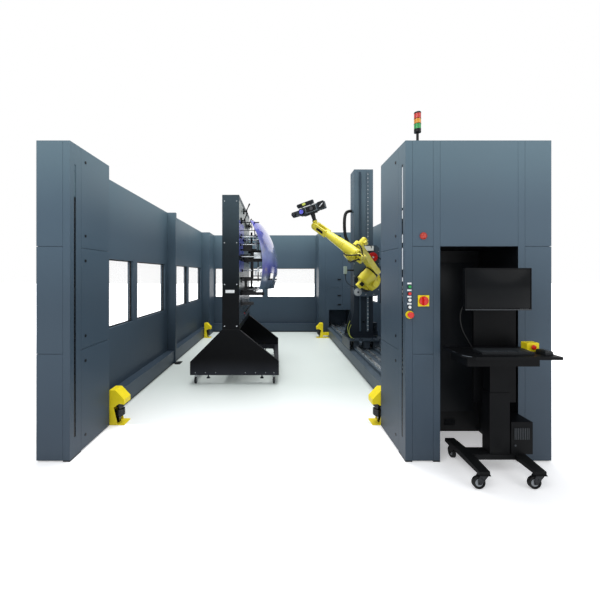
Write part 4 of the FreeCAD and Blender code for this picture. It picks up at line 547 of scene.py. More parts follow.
# the panel's own blue is broken into height bands and strong mottling that paint highlights and reflections
# on its gloss
dress(["body_panel"], finish("panelBlue", colour(120, 130, 170), roughness=0.14, mottle=0.35, mottleScale=3.2,
                             grain=0.01, coat=1.0, roughSpread=0.05, shine=0.6,
                             heights=((1.45, colour(92, 110, 122)), (1.66, colour(98, 114, 138)),
                                      (1.80, colour(92, 96, 190)), (2.05, colour(140, 150, 200)),
                                      (2.3, colour(118, 124, 200)), (2.6, colour(66, 66, 190)))))
dress(["clamp_lever"], finish("leverBlack", colour(20, 21, 22), roughness=0.4, mottle=0.15, mottleScale=30))
for cart in ("cart", "trolley"):
    forkTone = colour(176, 180, 184) if cart == "cart" else colour(34, 36, 39)
    fork = finish(cart + "Fork", forkTone, roughness=0.3, metallic=0.7 if cart == "cart" else 0.1, mottle=0.1,
                  mottleScale=30, grain=0.03)
    for side in ("left", "right"):
        dress([cart + "_fork_" + side], fork)
        for end in ("front", "rear"):
            hubTone = colour(150, 154, 158)
            dress(["_".join((cart, "wheel", end, side))],
                  wheelFinish(cart + end.title() + side.title() + "Wheel",
                              "_".join((cart, end, "spin", side)),
                              0.031, colour(40, 42, 45) if cart == "cart" else colour(16, 17, 18), hubTone))

trolleyBlack = finish("trolleyBlack", colour(11, 12, 14), shine=0.06, roughness=0.42, mottle=0.1,
                      mottleScale=6, grain=0.04, grainScale=320, dust=0.03)
dress(["trolley_frame", "trolley_table"], trolleyBlack)
dress(["monitor"], finish("screenBlack", colour(13, 14, 16), roughness=0.3, mottle=0.1, mottleScale=5,
                          grain=0.01, shine=0.06))
dress(["input_devices"], finish("keyGrey", colour(30, 33, 36), roughness=0.45, mottle=0.1, mottleScale=30))
redPlastic = finish("redPlastic", colour(206, 32, 24), roughness=0.22, mottle=0.08, mottleScale=40,
                    grain=0.01, coat=0.4)
dress(["red_button", "emergency_stop", "main_switch_knob", "stop_box_button"], redPlastic)
dress(["green_button"], finish("greenPlastic", colour(28, 150, 70), roughness=0.25, mottle=0.1,
                               mottleScale=60, coat=0.4))
dress(["white_button_upper", "white_button_lower"],
      finish("whitePlastic", colour(226, 228, 226), roughness=0.28, mottle=0.05, mottleScale=60, coat=0.3))
print("materials on", len(nodes), "nodes")

plainBlack = finish("softBlack", colour(17, 18, 20), roughness=0.5, mottle=0.15, mottleScale=25, grain=0.04)
satinWhite = finish("satinWhite", colour(232, 235, 236), roughness=0.35, mottle=0.05, mottleScale=30,
                    grain=0.02)
boltSteel = finish("boltSteel", colour(172, 178, 182), roughness=0.28, metallic=0.8, mottle=0.12,
                   mottleScale=60, grain=0.05, grainScale=500)
darkSteel = finish("darkSteel", colour(44, 47, 50), roughness=0.35, metallic=0.6, mottle=0.15, mottleScale=50,
                   grain=0.04)


def gaskets():
    seal = dict(width=0.016, proud=0.005)
    bm = bmesh.new()
    for low, high in islands("window_panes"):
        axis = 0 if high.x - low.x < 0.05 else 1
        for face, start in ((low, -seal["proud"]), (high, 0.0)):
            ringLow, ringHigh = low.copy(), high.copy()
            ringLow[axis] = face[axis] + start
            ringHigh[axis] = ringLow[axis] + seal["proud"]
            frameRing(bm, ringLow, ringHigh, axis, seal["width"])
    piece("windowGaskets", bm, plainBlack, "cell")


def buttonPlates():
    plate = dict(half=0.019, high=0.015, thick=0.0016, above=0.0235)
    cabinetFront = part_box("front_cabinet")[0].y
    bm = bmesh.new()
    for node in ("green_button", "red_button", "white_button_upper", "white_button_lower"):
        low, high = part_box(node)
        x, z = (low.x + high.x) / 2, (low.z + high.z) / 2 + plate["above"]
        softBox(bm, (x - plate["half"], cabinetFront - plate["thick"], z),
                (x + plate["half"], cabinetFront, z + plate["high"]), 0.0005)
    piece("buttonPlates", bm, satinWhite, "cell")


def curtainSegments():
    # the left strip is dark lenses, the right one also has long white stretches that are a painted reflection
    # in its glass
    segment = dict(pitch=0.042, high=0.024, half=0.009, thick=0.0015)
    reflectedStretches = ((1.664, 1.70), (1.776, 1.979), (2.03, 2.106), (2.257, 2.334), (2.36, 2.744))
    dark, bright = bmesh.new(), bmesh.new()
    for low, high in islands("light_curtains"):
        inward = 1 if low.x < 0 else -1
        face = high.x if inward > 0 else low.x
        near, far = sorted((face, face + inward * segment["thick"]))
        y, z = (low.y + high.y) / 2, 0.80
        while z < (2.40 if inward > 0 else 1.64):
            softBox(dark, (near, y - segment["half"], z), (far, y + segment["half"], z + segment["high"]))
            z += segment["pitch"]
        if inward < 0:
            for start, end in reflectedStretches:
                softBox(bright, (near, y - segment["half"], start), (far, y + segment["half"], end))
    piece("curtainLenses", dark, finish("curtainLens", colour(30, 33, 37), roughness=0.15, mottle=0.2,
                                        mottleScale=40, coat=0.3), "cell")
    piece("curtainReflections", bright, satinWhite, "cell")


def lampRings():
    low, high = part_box("tower_lamps")
    step = (high.z - low.z) / 3
    radius = (high.x - low.x) / 2
    bm = bmesh.new()
    for level in (1, 2):
        washer(bm, ((low.x + high.x) / 2, (low.y + high.y) / 2, low.z + step * level - 0.003), (0, 0, 1),
               radius + 0.0008, radius - 0.004, 0.006)
    piece("lampRings", bm, plainBlack, "cell", recalc=True)


def railBolts():
    bolt = dict(radius=0.0075, high=0.0012, sunk=0.00105, bedPitch=0.12, columnPitch=0.08)
    bm = bmesh.new()
    for low, high in islands("axis_rails"):
        if high.z < 0.28:
            continue
        y = low.y + 0.06
        while y < high.y:
            post(bm, ((low.x + high.x) / 2, y, high.z - bolt["sunk"]), (0, 0, 1), bolt["radius"],
                 bolt["high"], 12)
            y += bolt["bedPitch"]
    piece("bedRailBolts", bm, darkSteel, "cell")
    bm = bmesh.new()
    z = 0.60
    while z < 3.82:
        post(bm, (1.725, columnLow.y, z), (0, -1, 0), bolt["radius"], bolt["high"], 12)
        z += bolt["columnPitch"]
    piece("columnRailBolts", bm, satinWhite, "carriage")


def nicheBack():
    panel = dict(low=(1.409, -2.7705, 0.22), high=(2.009, -2.7655, 1.86), louvreLow=0.068, louvrePitch=0.015)
    bm = bmesh.new()
    softBox(bm, panel["low"], panel["high"], 0.002)
    for x in (1.43, 1.70, 1.988):
        for z in (0.25, 1.04, 1.83):
            post(bm, (x, -2.7705, z), (0, -1, 0), 0.006, 0.003, 12)
    for step in range(5):
        z = panel["louvreLow"] + step * panel["louvrePitch"]
        softBox(bm, (1.69, -2.779, z), (1.81, -2.7655, z + 0.006), 0.002)
    piece("nichePanel", bm, finish("nicheGrey", colour(30, 33, 37), roughness=0.4, mottle=0.1, mottleScale=3),
          "cell")


def scannerTrim():
    trim = dict(radius=0.0528, rings=(0.10, 0.118, 0.136, 0.205, 0.232), high=0.006)
    bm = bmesh.new()
    plugs = bmesh.new()
    for low, high in islands("scanner_heads"):
        way = 1 if low.x < 0 else -1
        x = high.x - 0.052 if way > 0 else low.x + 0.052
        y = (low.y + high.y) / 2
        for z in trim["rings"]:
            washer(bm, (x, y, z), (0, 0, 1), trim["radius"] + 0.0012, trim["radius"] - 0.003, trim["high"])
        post(plugs, (x, y, 0.076), (0, 0, 1), 0.034, 0.016, 24, 0.003)
    piece("scannerRings", bm, darkSteel, "cell", recalc=True)
    piece("scannerPlugs", plugs, plainBlack, "cell")


def boltRing(bm, place, centre, along, radius, count, size=0.007, high=0.005):
    # socket screws round a centre, in a local frame
    along = Vector(along)
    first = along.orthogonal().normalized()
    second = along.cross(first)
    for step in range(count):
        turn = math.tau * (step + 0.5) / count
        spot = Vector(centre) + (first * math.cos(turn) + second * math.sin(turn)) * radius
        post(bm, place @ spot, place.to_3x3() @ along, size, high, 12, size * 0.15)


def localPost(bm, place, centre, along, radius, length, segments=40, edge=0.0, tip=None):
    post(bm, place @ Vector(centre), place.to_3x3() @ Vector(along), radius, length, segments, edge, tip)


def localWasher(bm, place, centre, along, outer, inner, high):
    washer(bm, place @ Vector(centre), place.to_3x3() @ Vector(along), outer, inner, high, 56)


def armCovers():
    # joint covers, seam rings and screws of the arm; sizes in metres in each link's frame
    link = dict(outer=-0.215, big=0.124, small=0.100, length=0.789)
    caps = bmesh.new()
    localPost(caps, upperFrame, (0, link["outer"] - 0.016, 0), (0, -1, 0), 0.058, 0.010, edge=0.003)
    localPost(caps, upperFrame, (link["length"], link["outer"] - 0.118, 0), (0, -1, 0), 0.044, 0.012,
              edge=0.004)
    piece("shoulderCap", caps, robotYellow, "arm_link")
    bolts, seamsAndShade = bmesh.new(), bmesh.new()
    boltRing(bolts, upperFrame, (0, link["outer"] - 0.016, 0), (0, -1, 0), 0.070, 10)
    boltRing(bolts, upperFrame, (0, link["outer"], 0), (0, -1, 0), 0.101, 14, 0.006)
    boltRing(bolts, upperFrame, (link["length"], link["outer"], 0), (0, -1, 0), 0.076, 10, 0.006)
    piece("upperArmScrews", bolts, darkSteel, "arm_link")
    localWasher(seamsAndShade, upperFrame, (0, -0.1225, 0), (0, 1, 0), link["big"] + 0.002, link["big"] - 0.02, 0.011)
    localWasher(seamsAndShade, upperFrame, (link["length"], -0.1225, 0), (0, 1, 0), link["small"] + 0.002,
                link["small"] - 0.02, 0.011)
    piece("upperArmSeams", seamsAndShade, plainBlack, "arm_link", recalc=True)

    caps, bolts, seamsAndShade = bmesh.new(), bmesh.new(), bmesh.new()
    localPost(caps, elbowFrame, (0, 0.1185, 0), (0, 1, 0), 0.074, 0.012, edge=0.004)
    boltRing(bolts, elbowFrame, (0, 0.1185, 0), (0, 1, 0), 0.084, 12, 0.006)
    localWasher(seamsAndShade, elbowFrame, (0, -0.1095, 0), (0, 1, 0), 0.0985, 0.088, 0.026)
    for y, z in ((-0.044, 0.064), (0.048, 0.064), (0.002, 0.136)):
        localPost(caps, elbowFrame, (-0.281, y, z), (-1, 0, 0), 0.034, 0.012, 32, 0.004)
        localWasher(seamsAndShade, elbowFrame, (-0.182, y, z), (1, 0, 0), 0.0425, 0.036, 0.006)
        softBox(seamsAndShade, (-0.268, y - 0.014, z + 0.036), (-0.228, y + 0.014, z + 0.058), 0.003,
                place=elbowFrame)
    piece("elbowCaps", caps, robotYellow, "elbow")
    piece("elbowScrews", bolts, darkSteel, "elbow")
    piece("elbowSeams", seamsAndShade, plainBlack, "elbow", recalc=True)

    caps, bolts, seamsAndShade = bmesh.new(), bmesh.new(), bmesh.new()
    localWasher(seamsAndShade, forearmFrame, (0.1405, 0, 0), (1, 0, 0), 0.0935, 0.080, 0.005)
    localWasher(seamsAndShade, forearmFrame, (0.1870, 0, 0), (1, 0, 0), 0.0922, 0.080, 0.0022)
    for side in (-1, 1):
        localPost(caps, forearmFrame, (0.922, side * 0.0695, 0), (0, side, 0), 0.050, 0.007, edge=0.003)
        boltRing(bolts, forearmFrame, (0.922, side * 0.0765, 0), (0, side, 0), 0.040, 8, 0.0045, 0.003)
        # a black plate in each side pocket of the forearm is painted shade of the recess
        low, high = sorted((side * 0.0695, side * 0.0715))
        softBox(seamsAndShade, (0.655, low, -0.026), (0.835, high, 0.026), 0.0006, place=forearmFrame)
        lowY, highY = sorted((side * 0.0695, side * 0.0750))
        for a, b in (((0.645, lowY, 0.026), (0.845, highY, 0.038)),
                     ((0.645, lowY, -0.038), (0.845, highY, -0.026)),
                     ((0.645, lowY, -0.026), (0.656, highY, 0.026)),
                     ((0.834, lowY, -0.026), (0.845, highY, 0.026))):
            softBox(caps, a, b, 0.002, place=forearmFrame)
    piece("forearmCaps", caps, robotYellow, "forearm_tube")
    piece("forearmScrews", bolts, darkSteel, "forearm_tube")
    piece("forearmSeamsAndShade", seamsAndShade, plainBlack, "forearm_tube", recalc=True)

    bolts, seamsAndShade = bmesh.new(), bmesh.new()
    localWasher(seamsAndShade, baseFrame, (0, 0, 0.1505), (0, 0, 1), 0.2065, 0.185, 0.006)
    localWasher(seamsAndShade, baseFrame, (0.11, -0.1095, 0.418), (0, 1, 0), 0.1345, 0.118, 0.028)
    boltRing(bolts, baseFrame, (0, 0, 0.266), (0, 0, 1), 0.19, 16, 0.007, 0.006)
    boltRing(bolts, baseFrame, (0.11, 0.168, 0.418), (0, 1, 0), 0.075, 8, 0.006, 0.005)
    for x, y in ((-0.12, 0.14), (0.15, 0.14), (0.15, 0.05)):
        localPost(bolts, baseFrame, (x, y, 0.268), (0, 0, 1), 0.008, 0.006, 12)
    softBox(seamsAndShade, (0.0, 0.138, 0.30), (0.07, 0.1415, 0.312), 0.001, place=baseFrame)
    softBox(seamsAndShade, (0.072, 0.175, 0.512), (0.148, 0.245, 0.517), 0.001, place=baseFrame)
    piece("turretScrews", bolts, darkSteel, "turret")
    piece("turretSeams", seamsAndShade, plainBlack, "turret", recalc=True)

    bolts = bmesh.new()
    boltRing(bolts, baseFrame, (0, 0, 0.03), (0, 0, 1), 0.182, 12, 0.008, 0.010)
    softBox(bolts, (-0.10, 0.228, 0.05), (-0.05, 0.234, 0.11), 0.002, place=baseFrame)
    softBox(bolts, (-0.02, 0.228, 0.05), (0.03, 0.234, 0.11), 0.002, place=baseFrame)
    piece("baseScrews", bolts, boltSteel, "lift")


def elbowLeads():
    # black leads from the hand motors round the elbow housing
    runs = (((-0.25, -0.044, 0.122), (-0.25, -0.05, 0.165), (-0.19, -0.11, 0.20), (-0.08, -0.15, 0.17),
             (0.0, -0.135, 0.09), (-0.03, -0.118, 0.02)),
            ((-0.25, 0.048, 0.122), (-0.26, 0.09, 0.17), (-0.21, 0.15, 0.15), (-0.13, 0.175, 0.06),
             (-0.06, 0.16, -0.03), (-0.02, 0.135, -0.06)),
            ((-0.25, 0.002, 0.194), (-0.24, 0.03, 0.235), (-0.17, 0.10, 0.245), (-0.07, 0.135, 0.20),
             (0.03, 0.125, 0.12), (0.07, 0.10, 0.08)))
    placedRuns = [[elbowFrame @ Vector(point) for point in run] for run in runs]
    lead("elbowLeads", placedRuns, 0.012, hoseRubber, "elbow")


def headTrim():
    # sleeves, fascia, vents, plates and a painted highlight stripe on the measuring head, in its own frame
    black, pale, stripeGlint = bmesh.new(), bmesh.new(), bmesh.new()
    localWasher(black, headFrame, (-0.28, -0.064, -0.004), (0, -1, 0), 0.0425, 0.0335, 0.060)
    localWasher(black, headFrame, (-0.123, -0.058, 0), (0, -1, 0), 0.0562, 0.0428, 0.056)
    localWasher(black, headFrame, (0.072, -0.060, 0.004), (0, -1, 0), 0.0485, 0.0335, 0.036)
    for a, b in (((-0.045, -0.0765, 0.052), (0.168, -0.0715, 0.060)),
                 ((-0.045, -0.0765, -0.058), (0.168, -0.0715, -0.050)),
                 ((-0.045, -0.0765, -0.050), (-0.037, -0.0715, 0.052)),
                 ((0.160, -0.0765, -0.050), (0.168, -0.0715, 0.052))):
        softBox(pale, a, b, 0.0015, place=headFrame)
    softBox(black, (-0.037, -0.0735, -0.050), (0.160, -0.0715, 0.052), place=headFrame)
    for step in range(7):
        x = 0.03 + step * 0.016
        softBox(black, (x, 0.0715, -0.04), (x + 0.007, 0.0745, 0.04), 0.001, place=headFrame)
    for x in (-0.155, 0.18):
        for z in (-0.06, 0.06):
            localPost(pale, headFrame, (x, -0.072, z), (0, -1, 0), 0.0055, 0.003, 12)
            localPost(pale, headFrame, (x, 0.072, z), (0, 1, 0), 0.0055, 0.003, 12)
    softBox(black, (0.205, -0.0695, -0.055), (0.323, -0.0675, 0.068), 0.001, place=headFrame)
    # a thin white slanted stripe on the right box is a painted highlight
    tilt = (headFrame @ Matrix.Translation((0.264, -0.0715, 0.008))
            @ Matrix.Rotation(math.radians(-32), 4, "Y"))
    softBox(stripeGlint, (-0.044, -0.0015, -0.008), (0.044, 0.0015, 0.008), 0.001, place=tilt)
    for x in (-0.175, 0.118):
        localWasher(black, headFrame, (x, -0.042, 0.131), (0, -1, 0), 0.022, 0.014, 0.010)
    softBox(black, (-0.150, -0.0435, 0.104), (0.095, -0.0415, 0.158), 0.001, place=headFrame)
    softBox(black, (-0.19, -0.020, 0.1635), (0.12, 0.020, 0.1665), 0.001, place=headFrame)
    localPost(black, headFrame, (0.02, 0.07, -0.02), (0, 1, 0), 0.016, 0.03, 24, 0.003)
    piece("headSleeves", black, plainBlack, "measuring_head", recalc=True)
    piece("headFascia", pale, finish("fasciaGrey", colour(118, 128, 132), roughness=0.32, metallic=0.3,
                                     mottle=0.1, mottleScale=40), "measuring_head")
    piece("headStripeHighlight", stripeGlint, satinWhite, "measuring_head")
    bm = bmesh.new()
    softBox(bm, (-0.085, -0.0455, 0.110), (-0.020, -0.0430, 0.152), 0.001, place=headFrame)
    piece("headPatch", bm, finish("patchGreen", colour(196, 206, 96), roughness=0.3, mottle=0.15,
                                  mottleScale=60, glow=0.15), "measuring_head")


def cartTrim():
    cart = dict(frontY=-1.2095, left=-1.016, right=-0.749, pitch=0.657, top=2.889, inset=0.037)
    dots = bmesh.new()
    for x in (cart["left"] + cart["inset"], cart["right"] - cart["inset"]):
        for step in range(4):
            post(dots, (x, cart["frontY"], cart["top"] - step * cart["pitch"]), (0, -1, 0), 0.0085, 0.002, 12)
    for x in (-1.44, -1.28, -1.12, -0.65, -0.49, -0.33, -0.20):
        post(dots, (x, cart["frontY"], 0.185), (0, -1, 0), 0.006, 0.003, 10)
    piece("cartScrews", dots, boltSteel, "cart")
    bm = bmesh.new()
    softBox(bm, (-0.9636, cart["frontY"] - 0.002, 1.440), (-0.8218, cart["frontY"], 1.4876), 0.001)
    piece("cartPlate", bm, satinWhite, "cart")
    bm = bmesh.new()
    softBox(bm, (cart["left"], cart["frontY"] - 0.0008, 0.858), (cart["right"], cart["frontY"], 0.863))
    softBox(bm, (cart["left"], cart["frontY"] - 0.0008, 2.02), (cart["right"], cart["frontY"], 2.023))
    piece("cartSeams", bm, plainBlack, "cart")


def tooling():
    # locating rods, blocks and toggle clamps between the upright and the clamped panel
    face = -0.749
    pale, dark, grips = bmesh.new(), bmesh.new(), bmesh.new()
    for z, y, reach in ((2.337, -1.10, 0.26), (2.215, -1.06, 0.25), (2.021, -1.08, 0.25),
                        (2.337, -0.60, 0.34), (2.021, -0.55, 0.36), (1.80, -0.80, 0.30)):
        post(pale, (face, y, z), (1, 0, 0), 0.009, reach, 16, 0.001)
        post(dark, (face, y, z), (1, 0, 0), 0.024, 0.02, 24, 0.003)
    post(pale, (-0.495, -1.02, 2.14), (0, 0, 1), 0.010, 0.25, 16)
    softBox(dark, (-0.749, -1.035, 2.12), (-0.485, -1.005, 2.15), 0.003)
    softBox(pale, (-0.53, -1.04, 1.99), (-0.40, -0.98, 2.09), 0.008)
    softBox(dark, (-0.749, -1.02, 2.03), (-0.53, -0.99, 2.06), 0.003)
    softBox(dark, (-0.56, -1.05, 1.66), (-0.535, -1.02, 2.10), 0.003)
    softBox(dark, (-0.749, -1.045, 1.66), (-0.535, -1.02, 1.69), 0.003)
    for x, z in ((-0.50, 1.74), (-0.46, 1.80), (-0.42, 1.72)):
        softBox(pale, (x - 0.014, -1.03, z - 0.03), (x + 0.014, -1.0, z + 0.045), 0.004)
        post(pale, (x, -1.015, z + 0.04), (1, 0, 0.6), 0.006, 0.06, 12)
    softBox(dark, (-0.54, -1.03, 1.70), (-0.40, -1.0, 1.715), 0.003)
    for y, z, reach in ((-0.52, 2.86, 0.07), (0.31, 2.70, 0.10), (-0.95, 2.62, 0.08), (-0.10, 2.66, 0.09)):
        softBox(dark, (face, y - 0.03, z - 0.05), (face + 0.02, y + 0.03, z + 0.05), 0.004)
        softBox(dark, (face + 0.02, y - 0.012, z - 0.012), (face + reach, y + 0.012, z + 0.012), 0.004)
        arm = Matrix.Translation((face + 0.05, y, z)) @ Matrix.Rotation(math.radians(24), 4, "Y")
        softBox(dark, (-0.008, -0.008, 0.0), (0.008, 0.008, 0.12), 0.003, place=arm)
        post(grips, arm @ Vector((0, 0, 0.10)), arm.to_3x3() @ Vector((0, 0, 1)), 0.013, 0.05, 16, 0.004)
        post(dark, (face + reach - 0.012, y, z - 0.06), (0, 0, 1), 0.007, 0.10, 12)
    frames = (((-0.749, -1.06, 2.570), (-0.44, -1.04, 2.585)), ((-0.52, -1.06, 2.30), (-0.505, -1.04, 2.57)),
              ((-0.70, -1.09, 2.11), (-0.56, -1.02, 2.21)), ((-0.70, -1.00, 1.94), (-0.38, -0.96, 1.99)),
              ((-0.749, -1.05, 1.395), (-0.36, -0.99, 1.445)), ((-0.60, -0.80, 1.50), (-0.57, -0.77, 2.45)),
              ((-0.47, -1.02, 1.62), (-0.45, -1.0, 2.30)), ((-0.68, -1.04, 1.445), (-0.64, -1.0, 1.66)),
              ((-0.749, -1.06, 2.44), (-0.50, -1.045, 2.45)), ((-0.66, -0.62, 2.10), (-0.42, -0.58, 2.16)))
    for a, b in frames:
        softBox(dark, a, b, 0.003)
    for z in (1.47, 1.52, 1.57):
        for x in (-0.52, -0.47, -0.42):
            post(pale, (x, -1.045, z), (0, -1, 0), 0.009, 0.006, 12)
    piece("toolingRods", pale, boltSteel, "cart")
    piece("toolingBars", dark, plainBlack, "cart")
    piece("toggleGrips", grips, plainBlack, "cart")
    bm = bmesh.new()
    leverPin, leverAngle, gripFrom = Vector((-0.562, -0.9295, 1.254)), math.radians(231), 0.165
    way = Vector((math.cos(leverAngle), 0, math.sin(leverAngle)))
    post(bm, leverPin + way * gripFrom, way, 0.0125, 0.048, 24, 0.004, 0.0145)
    piece("leverGrip", bm, redPlastic, "lever")


def trolleyTrim():
    screen = dict(left=1.463, right=2.035, front=-3.5715, low=1.42, high=1.784)
    bm = bmesh.new()
    softBox(bm, (screen["left"] + 0.012, screen["front"] + 0.0015, screen["low"] + 0.020),
            (screen["right"] - 0.012, screen["front"] + 0.0032, screen["high"] - 0.012), 0.0004)
    piece("screenGlass", bm, finish("screenGlass", colour(15, 17, 19), roughness=0.16, mottle=0.2,
                                    mottleScale=2, shine=0.06), "screen")
    bm = bmesh.new()
    softBox(bm, (screen["left"] + 0.002, screen["front"] - 0.001, screen["low"] + 0.002),
            (screen["right"] - 0.002, screen["front"] + 0.002, screen["low"] + 0.007), 0.0006)
    for step in range(5):
        x = screen["right"] - 0.10 + step * 0.016
        softBox(bm, (x, screen["front"] - 0.0018, screen["low"] + 0.010),
                (x + 0.008, screen["front"], screen["low"] + 0.014), 0.0004)
    for row in range(3):
        for step in range(14):
            x = 1.62 + step * 0.020
            softBox(bm, (x, -3.534, 1.50 + row * 0.07), (x + 0.009, -3.5325, 1.54 + row * 0.07))
    piece("screenTrim", bm, finish("trimGrey", colour(78, 82, 86), roughness=0.35, mottle=0.1,
                                   mottleScale=40), "screen")
    keys = dict(left=1.537, back=-3.578, pitch=0.0187, size=0.0162, top=1.088, high=0.0035)
    bm = bmesh.new()
    for row in range(6):
        for column in range(22):
            if column in (15, 18) or (column in (16, 17) and row == 3):
                continue
            wide = keys["size"]
            if row == 5 and 4 <= column <= 9:
                if column != 4:
                    continue
                wide = keys["pitch"] * 6 - 0.002
            x = keys["left"] + column * keys["pitch"]
            y = keys["back"] - row * 0.0195
            softBox(bm, (x, y - keys["size"], keys["top"]), (x + wide, y, keys["top"] + keys["high"]))
    piece("keyCaps", bm, finish("keyCap", colour(44, 48, 52), roughness=0.5, mottle=0.12, mottleScale=50,
                                grain=0.05), "table")
    bm = bmesh.new()
    post(bm, (2.062, -3.700, 1.101), (0, 0.15, 1), 0.0045, 0.004, 16, 0.001)
    softBox(bm, (2.0600, -3.7215, 1.0895), (2.0612, -3.668, 1.1055))
    piece("mouseTrim", bm, finish("mouseGrey", colour(120, 124, 128), roughness=0.3, mottle=0.1,
                                  mottleScale=60), "table")
    # a grey rod round the black table's rim is a painted highlight on its edge
    edge = [(1.366, -3.70), (1.366, -3.72), (1.43, -3.7805), (2.058, -3.7805), (2.121, -3.72), (2.121, -3.45),
            (2.10, -3.3975), (1.39, -3.3975), (1.366, -3.45), (1.366, -3.60)]
    lead("tableEdgeHighlight", [[(x, y, 1.0655) for x, y in edge]], 0.0028,
         finish("edgeHighlightGrey", colour(74, 80, 86), roughness=0.4, mottle=0.1, mottleScale=30), "table")
    lead("screenLead", [[(1.64, -3.405, 1.53), (1.54, -3.41, 1.46), (1.495, -3.425, 1.36),
                         (1.505, -3.44, 1.24), (1.56, -3.45, 1.13), (1.59, -3.455, 1.074)]],
         0.0045, hoseRubber, "table")
    bm = bmesh.new()
    for step in range(9):
        softBox(bm, (1.90 + step * 0.015, -3.5575, 0.30), (1.906 + step * 0.015, -3.5555, 0.40))
    post(bm, (1.905, -3.5565, 0.25), (0, -1, 0), 0.009, 0.003, 20, 0.001)
    piece("computerVents", bm, finish("ventGrey", colour(60, 64, 68), roughness=0.4, mottle=0.1,
                                      mottleScale=40), "trolley")


def hoseRibs():
    # corrugations along the supply hose, on the line of its own route
    anchor = Vector((1.451, 0.321, 0))
    route = ((-25, 217.5, 3070), (-85, 217.5, 3070), (-155, 182.5, 3030), (-196, 117.5, 2930),
             (-215, 57.5, 2790), (-219, 17.5, 2630), (-201, -7.5, 2480), (-151, -39.5, 2375),
             (-151, -39.5, 2296))
    points = [anchor + Vector(point) / 1000 for point in route]
    line = [vert.co.copy() for vert in curveMesh("hoseLine", [points], 16).vertices]
    bm = bmesh.new()
    travelled, nextRib = 0.0, 0.012
    for before, after in zip(line, line[1:]):
        step = (after - before).length
        while nextRib < travelled + step:
            spot = before.lerp(after, (nextRib - travelled) / step)
            washer(bm, spot, after - before, 0.0325, 0.024, 0.0062, 24)
            nextRib += 0.0125
        travelled += step
    piece("hoseRibs", bm, hoseRubber, "lift", recalc=True)


def liftTrim():
    bm = bmesh.new()
    for radius in (0.086, 0.062, 0.042):
        washer(bm, (1.780, 0.2275, 2.082), (0, -1, 0), radius, radius - 0.009, 0.005)
    piece("reelRings", bm, finish("reelRed", colour(160, 26, 26), roughness=0.3, mottle=0.15, mottleScale=30),
          "lift", recalc=True)
    bm = bmesh.new()
    post(bm, (1.780, 0.2155, 2.082), (0, -1, 0), 0.022, 0.010, 32, 0.003)
    for x in (1.42, 1.50, 1.66, 1.82, 1.92):
        for z in (1.33, 2.29) if 1.45 < x < 1.9 else (1.42, 1.70, 1.95, 2.20):
            if (x, z) != (1.50, 1.33):
                post(bm, (x, 0.321, z), (0, -1, 0), 0.010, 0.008, 16, 0.002)
    for x, z in ((1.61, 2.225), (1.785, 2.225), (1.61, 2.298), (1.785, 2.298)):
        post(bm, (x, 0.231, z), (0, -1, 0), 0.005, 0.003, 12)
    piece("liftScrews", bm, boltSteel, "lift")
    case, arm = bmesh.new(), bmesh.new()
    softBox(case, (1.205, 0.262, 1.745), (1.268, 0.322, 1.900), 0.006)
    for z in (1.752, 1.888):
        softBox(case, (1.212, 0.258, z), (1.261, 0.263, z + 0.005), 0.001)
    softBox(arm, (1.268, 0.288, 1.805), (1.4095, 0.312, 1.835), 0.003)
    post(arm, (1.236, 0.292, 1.745), (0, 0, -1), 0.014, 0.03, 20, 0.003)
    piece("limitBox", case, finish("limitGrey", colour(150, 166, 158), roughness=0.4, mottle=0.08,
                                   mottleScale=30), "lift")
    piece("limitArm", arm, plainBlack, "lift")
    lead("limitLead", [[(1.236, 0.292, 1.72), (1.24, 0.285, 1.62), (1.29, 0.27, 1.54), (1.36, 0.275, 1.50),
                        (1.41, 0.29, 1.48), (1.44, 0.322, 1.47)]], 0.007, hoseRubber, "lift")
    lead("terminalLead", [[(1.60, 0.235, 2.41), (1.625, 0.22, 2.365), (1.66, 0.214, 2.315),
                           (1.71, 0.212, 2.325), (1.75, 0.214, 2.30), (1.748, 0.228, 2.262)]],
         0.008, hoseRubber, "lift")
    lead("carriageLeads", [[(1.36, 0.39, 0.78), (1.30, 0.36, 0.68), (1.285, 0.28, 0.58), (1.31, 0.22, 0.48),
                            (1.38, 0.20, 0.436)],
                           [(1.38, 0.39, 0.70), (1.325, 0.35, 0.62), (1.31, 0.27, 0.54),
                            (1.335, 0.21, 0.47), (1.40, 0.19, 0.436)]], 0.0055,
         finish("leadGreen", colour(138, 148, 62), roughness=0.4, mottle=0.1, mottleScale=30), "carriage")


for make in (gaskets, buttonPlates, curtainSegments, lampRings, railBolts, nicheBack, scannerTrim, armCovers,
             elbowLeads, headTrim, cartTrim, tooling, trolleyTrim, hoseRibs, liftTrim):
    make()
    print("made", make.__name__)

# floor, light and camera
floorMesh = bpy.data.meshes.new("floor")
bm = bmesh.new()
bmesh.ops.create_grid(bm, x_segments=1, y_segments=1, size=60)
bm.to_mesh(floorMesh)
bm.free()
floor = linked("floor", floorMesh)
floor.location.z = -0.002
floorWithShade, tree, shader = freshMaterial("floorWithShade")
coords = objectCoords(tree)
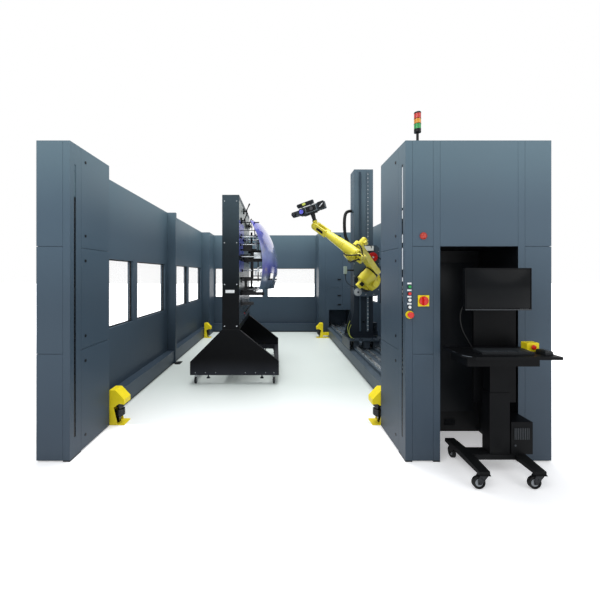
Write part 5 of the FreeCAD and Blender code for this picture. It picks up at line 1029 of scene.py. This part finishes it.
# inside the cell the floor turns grey-green, more so deeper in from the entrance: painted shade of the cell
# walls
inside = boxMask(tree, coords, (-2.3, -2.6, -1), (2.3, 3.8, 1))
across, along = axesOf(tree, coords)[:2]
deep = stretchValue(tree, along, -3.4, -1.2, 0.0, 1.0)
cloud = noise(tree, coords, 0.8, 3)
floorShadeTone = mixColour(tree, mathNode(tree, "MULTIPLY", deep, inside), colour(252, 252, 253),
                  colour(212, 220, 216))
floorShadeTone = mixColour(tree, 1.0, floorShadeTone, stretchValue(tree, cloud, 0.3, 0.7, 0.985, 1.0), "MULTIPLY")
wire(tree, floorShadeTone, shader.inputs["Base Color"])
shader.inputs["Roughness"].default_value = 0.45
wire(tree, floorShadeTone, shader.inputs["Emission Color"])
path = tree.nodes.new("ShaderNodeLightPath")
seen = seenPlainly(tree, path)
away = stretchValue(tree, squareSum(tree, across, along), 22.0, 70.0, 0.34, 1.3)
away = mathNode(tree, "MULTIPLY", away, mathNode(tree, "SUBTRACT", 1.0,
                                                 mathNode(tree, "MULTIPLY", inside, 0.7)))
wire(tree, mathNode(tree, "MULTIPLY", seen, away), shader.inputs["Emission Strength"])
floorMesh.materials.append(floorWithShade)

world = bpy.data.worlds.new("studio")
bpy.context.scene.world = world
world.use_nodes = True
tree = world.node_tree
tree.nodes.clear()
output = tree.nodes.new("ShaderNodeOutputWorld")
light = tree.nodes.new("ShaderNodeBackground")
white = tree.nodes.new("ShaderNodeBackground")
blend = tree.nodes.new("ShaderNodeMixShader")
path = tree.nodes.new("ShaderNodeLightPath")
light.inputs["Color"].default_value = (0.94, 0.97, 1.0, 1)
light.inputs["Strength"].default_value = 0.62
white.inputs["Color"].default_value = (1, 1, 1, 1)
white.inputs["Strength"].default_value = 1.0
seen = mathNode(tree, "MAXIMUM", seenPlainly(tree, path), path.outputs["Is Transmission Ray"])
wire(tree, seen, blend.inputs[0])
wire(tree, light.outputs[0], blend.inputs[1])
wire(tree, white.outputs[0], blend.inputs[2])
wire(tree, blend.outputs[0], output.inputs[0])


def lamp(name, where, aim, size, power):
    data = bpy.data.lights.new(name, "AREA")
    data.shape = "DISK"
    data.size = size
    data.energy = power
    made = linked(name, data)
    made.location = where
    made.rotation_euler = (Vector(aim) - Vector(where)).to_track_quat("-Z", "Y").to_euler()


lamp("keyLight", (-4.5, -9.0, 8.5), (0.3, -1.0, 1.2), 6.0, 330)
lamp("topLight", (0.3, 0.3, 9.5), (0.2, 0.0, 0.0), 7.0, 800)
lamp("fillLight", (6.0, -8.5, 4.5), (1.0, -2.0, 1.5), 5.0, 110)

view = dict(place=(-0.160, -6.4095, 1.724), lens=19.8, shiftX=0.0392, shiftY=-0.0417)
cameraData = bpy.data.cameras.new("camera")
cameraData.lens = view["lens"]
cameraData.sensor_width = 36
cameraData.sensor_fit = "HORIZONTAL"
cameraData.shift_x = view["shiftX"]
cameraData.shift_y = view["shiftY"]
cameraData.clip_end = 200
camera = linked("camera", cameraData)
camera.location = view["place"]
camera.rotation_euler = (math.radians(90), 0, 0)
bpy.context.scene.camera = camera
bpy.context.scene.view_settings.view_transform = "Standard"
print("stage ready")
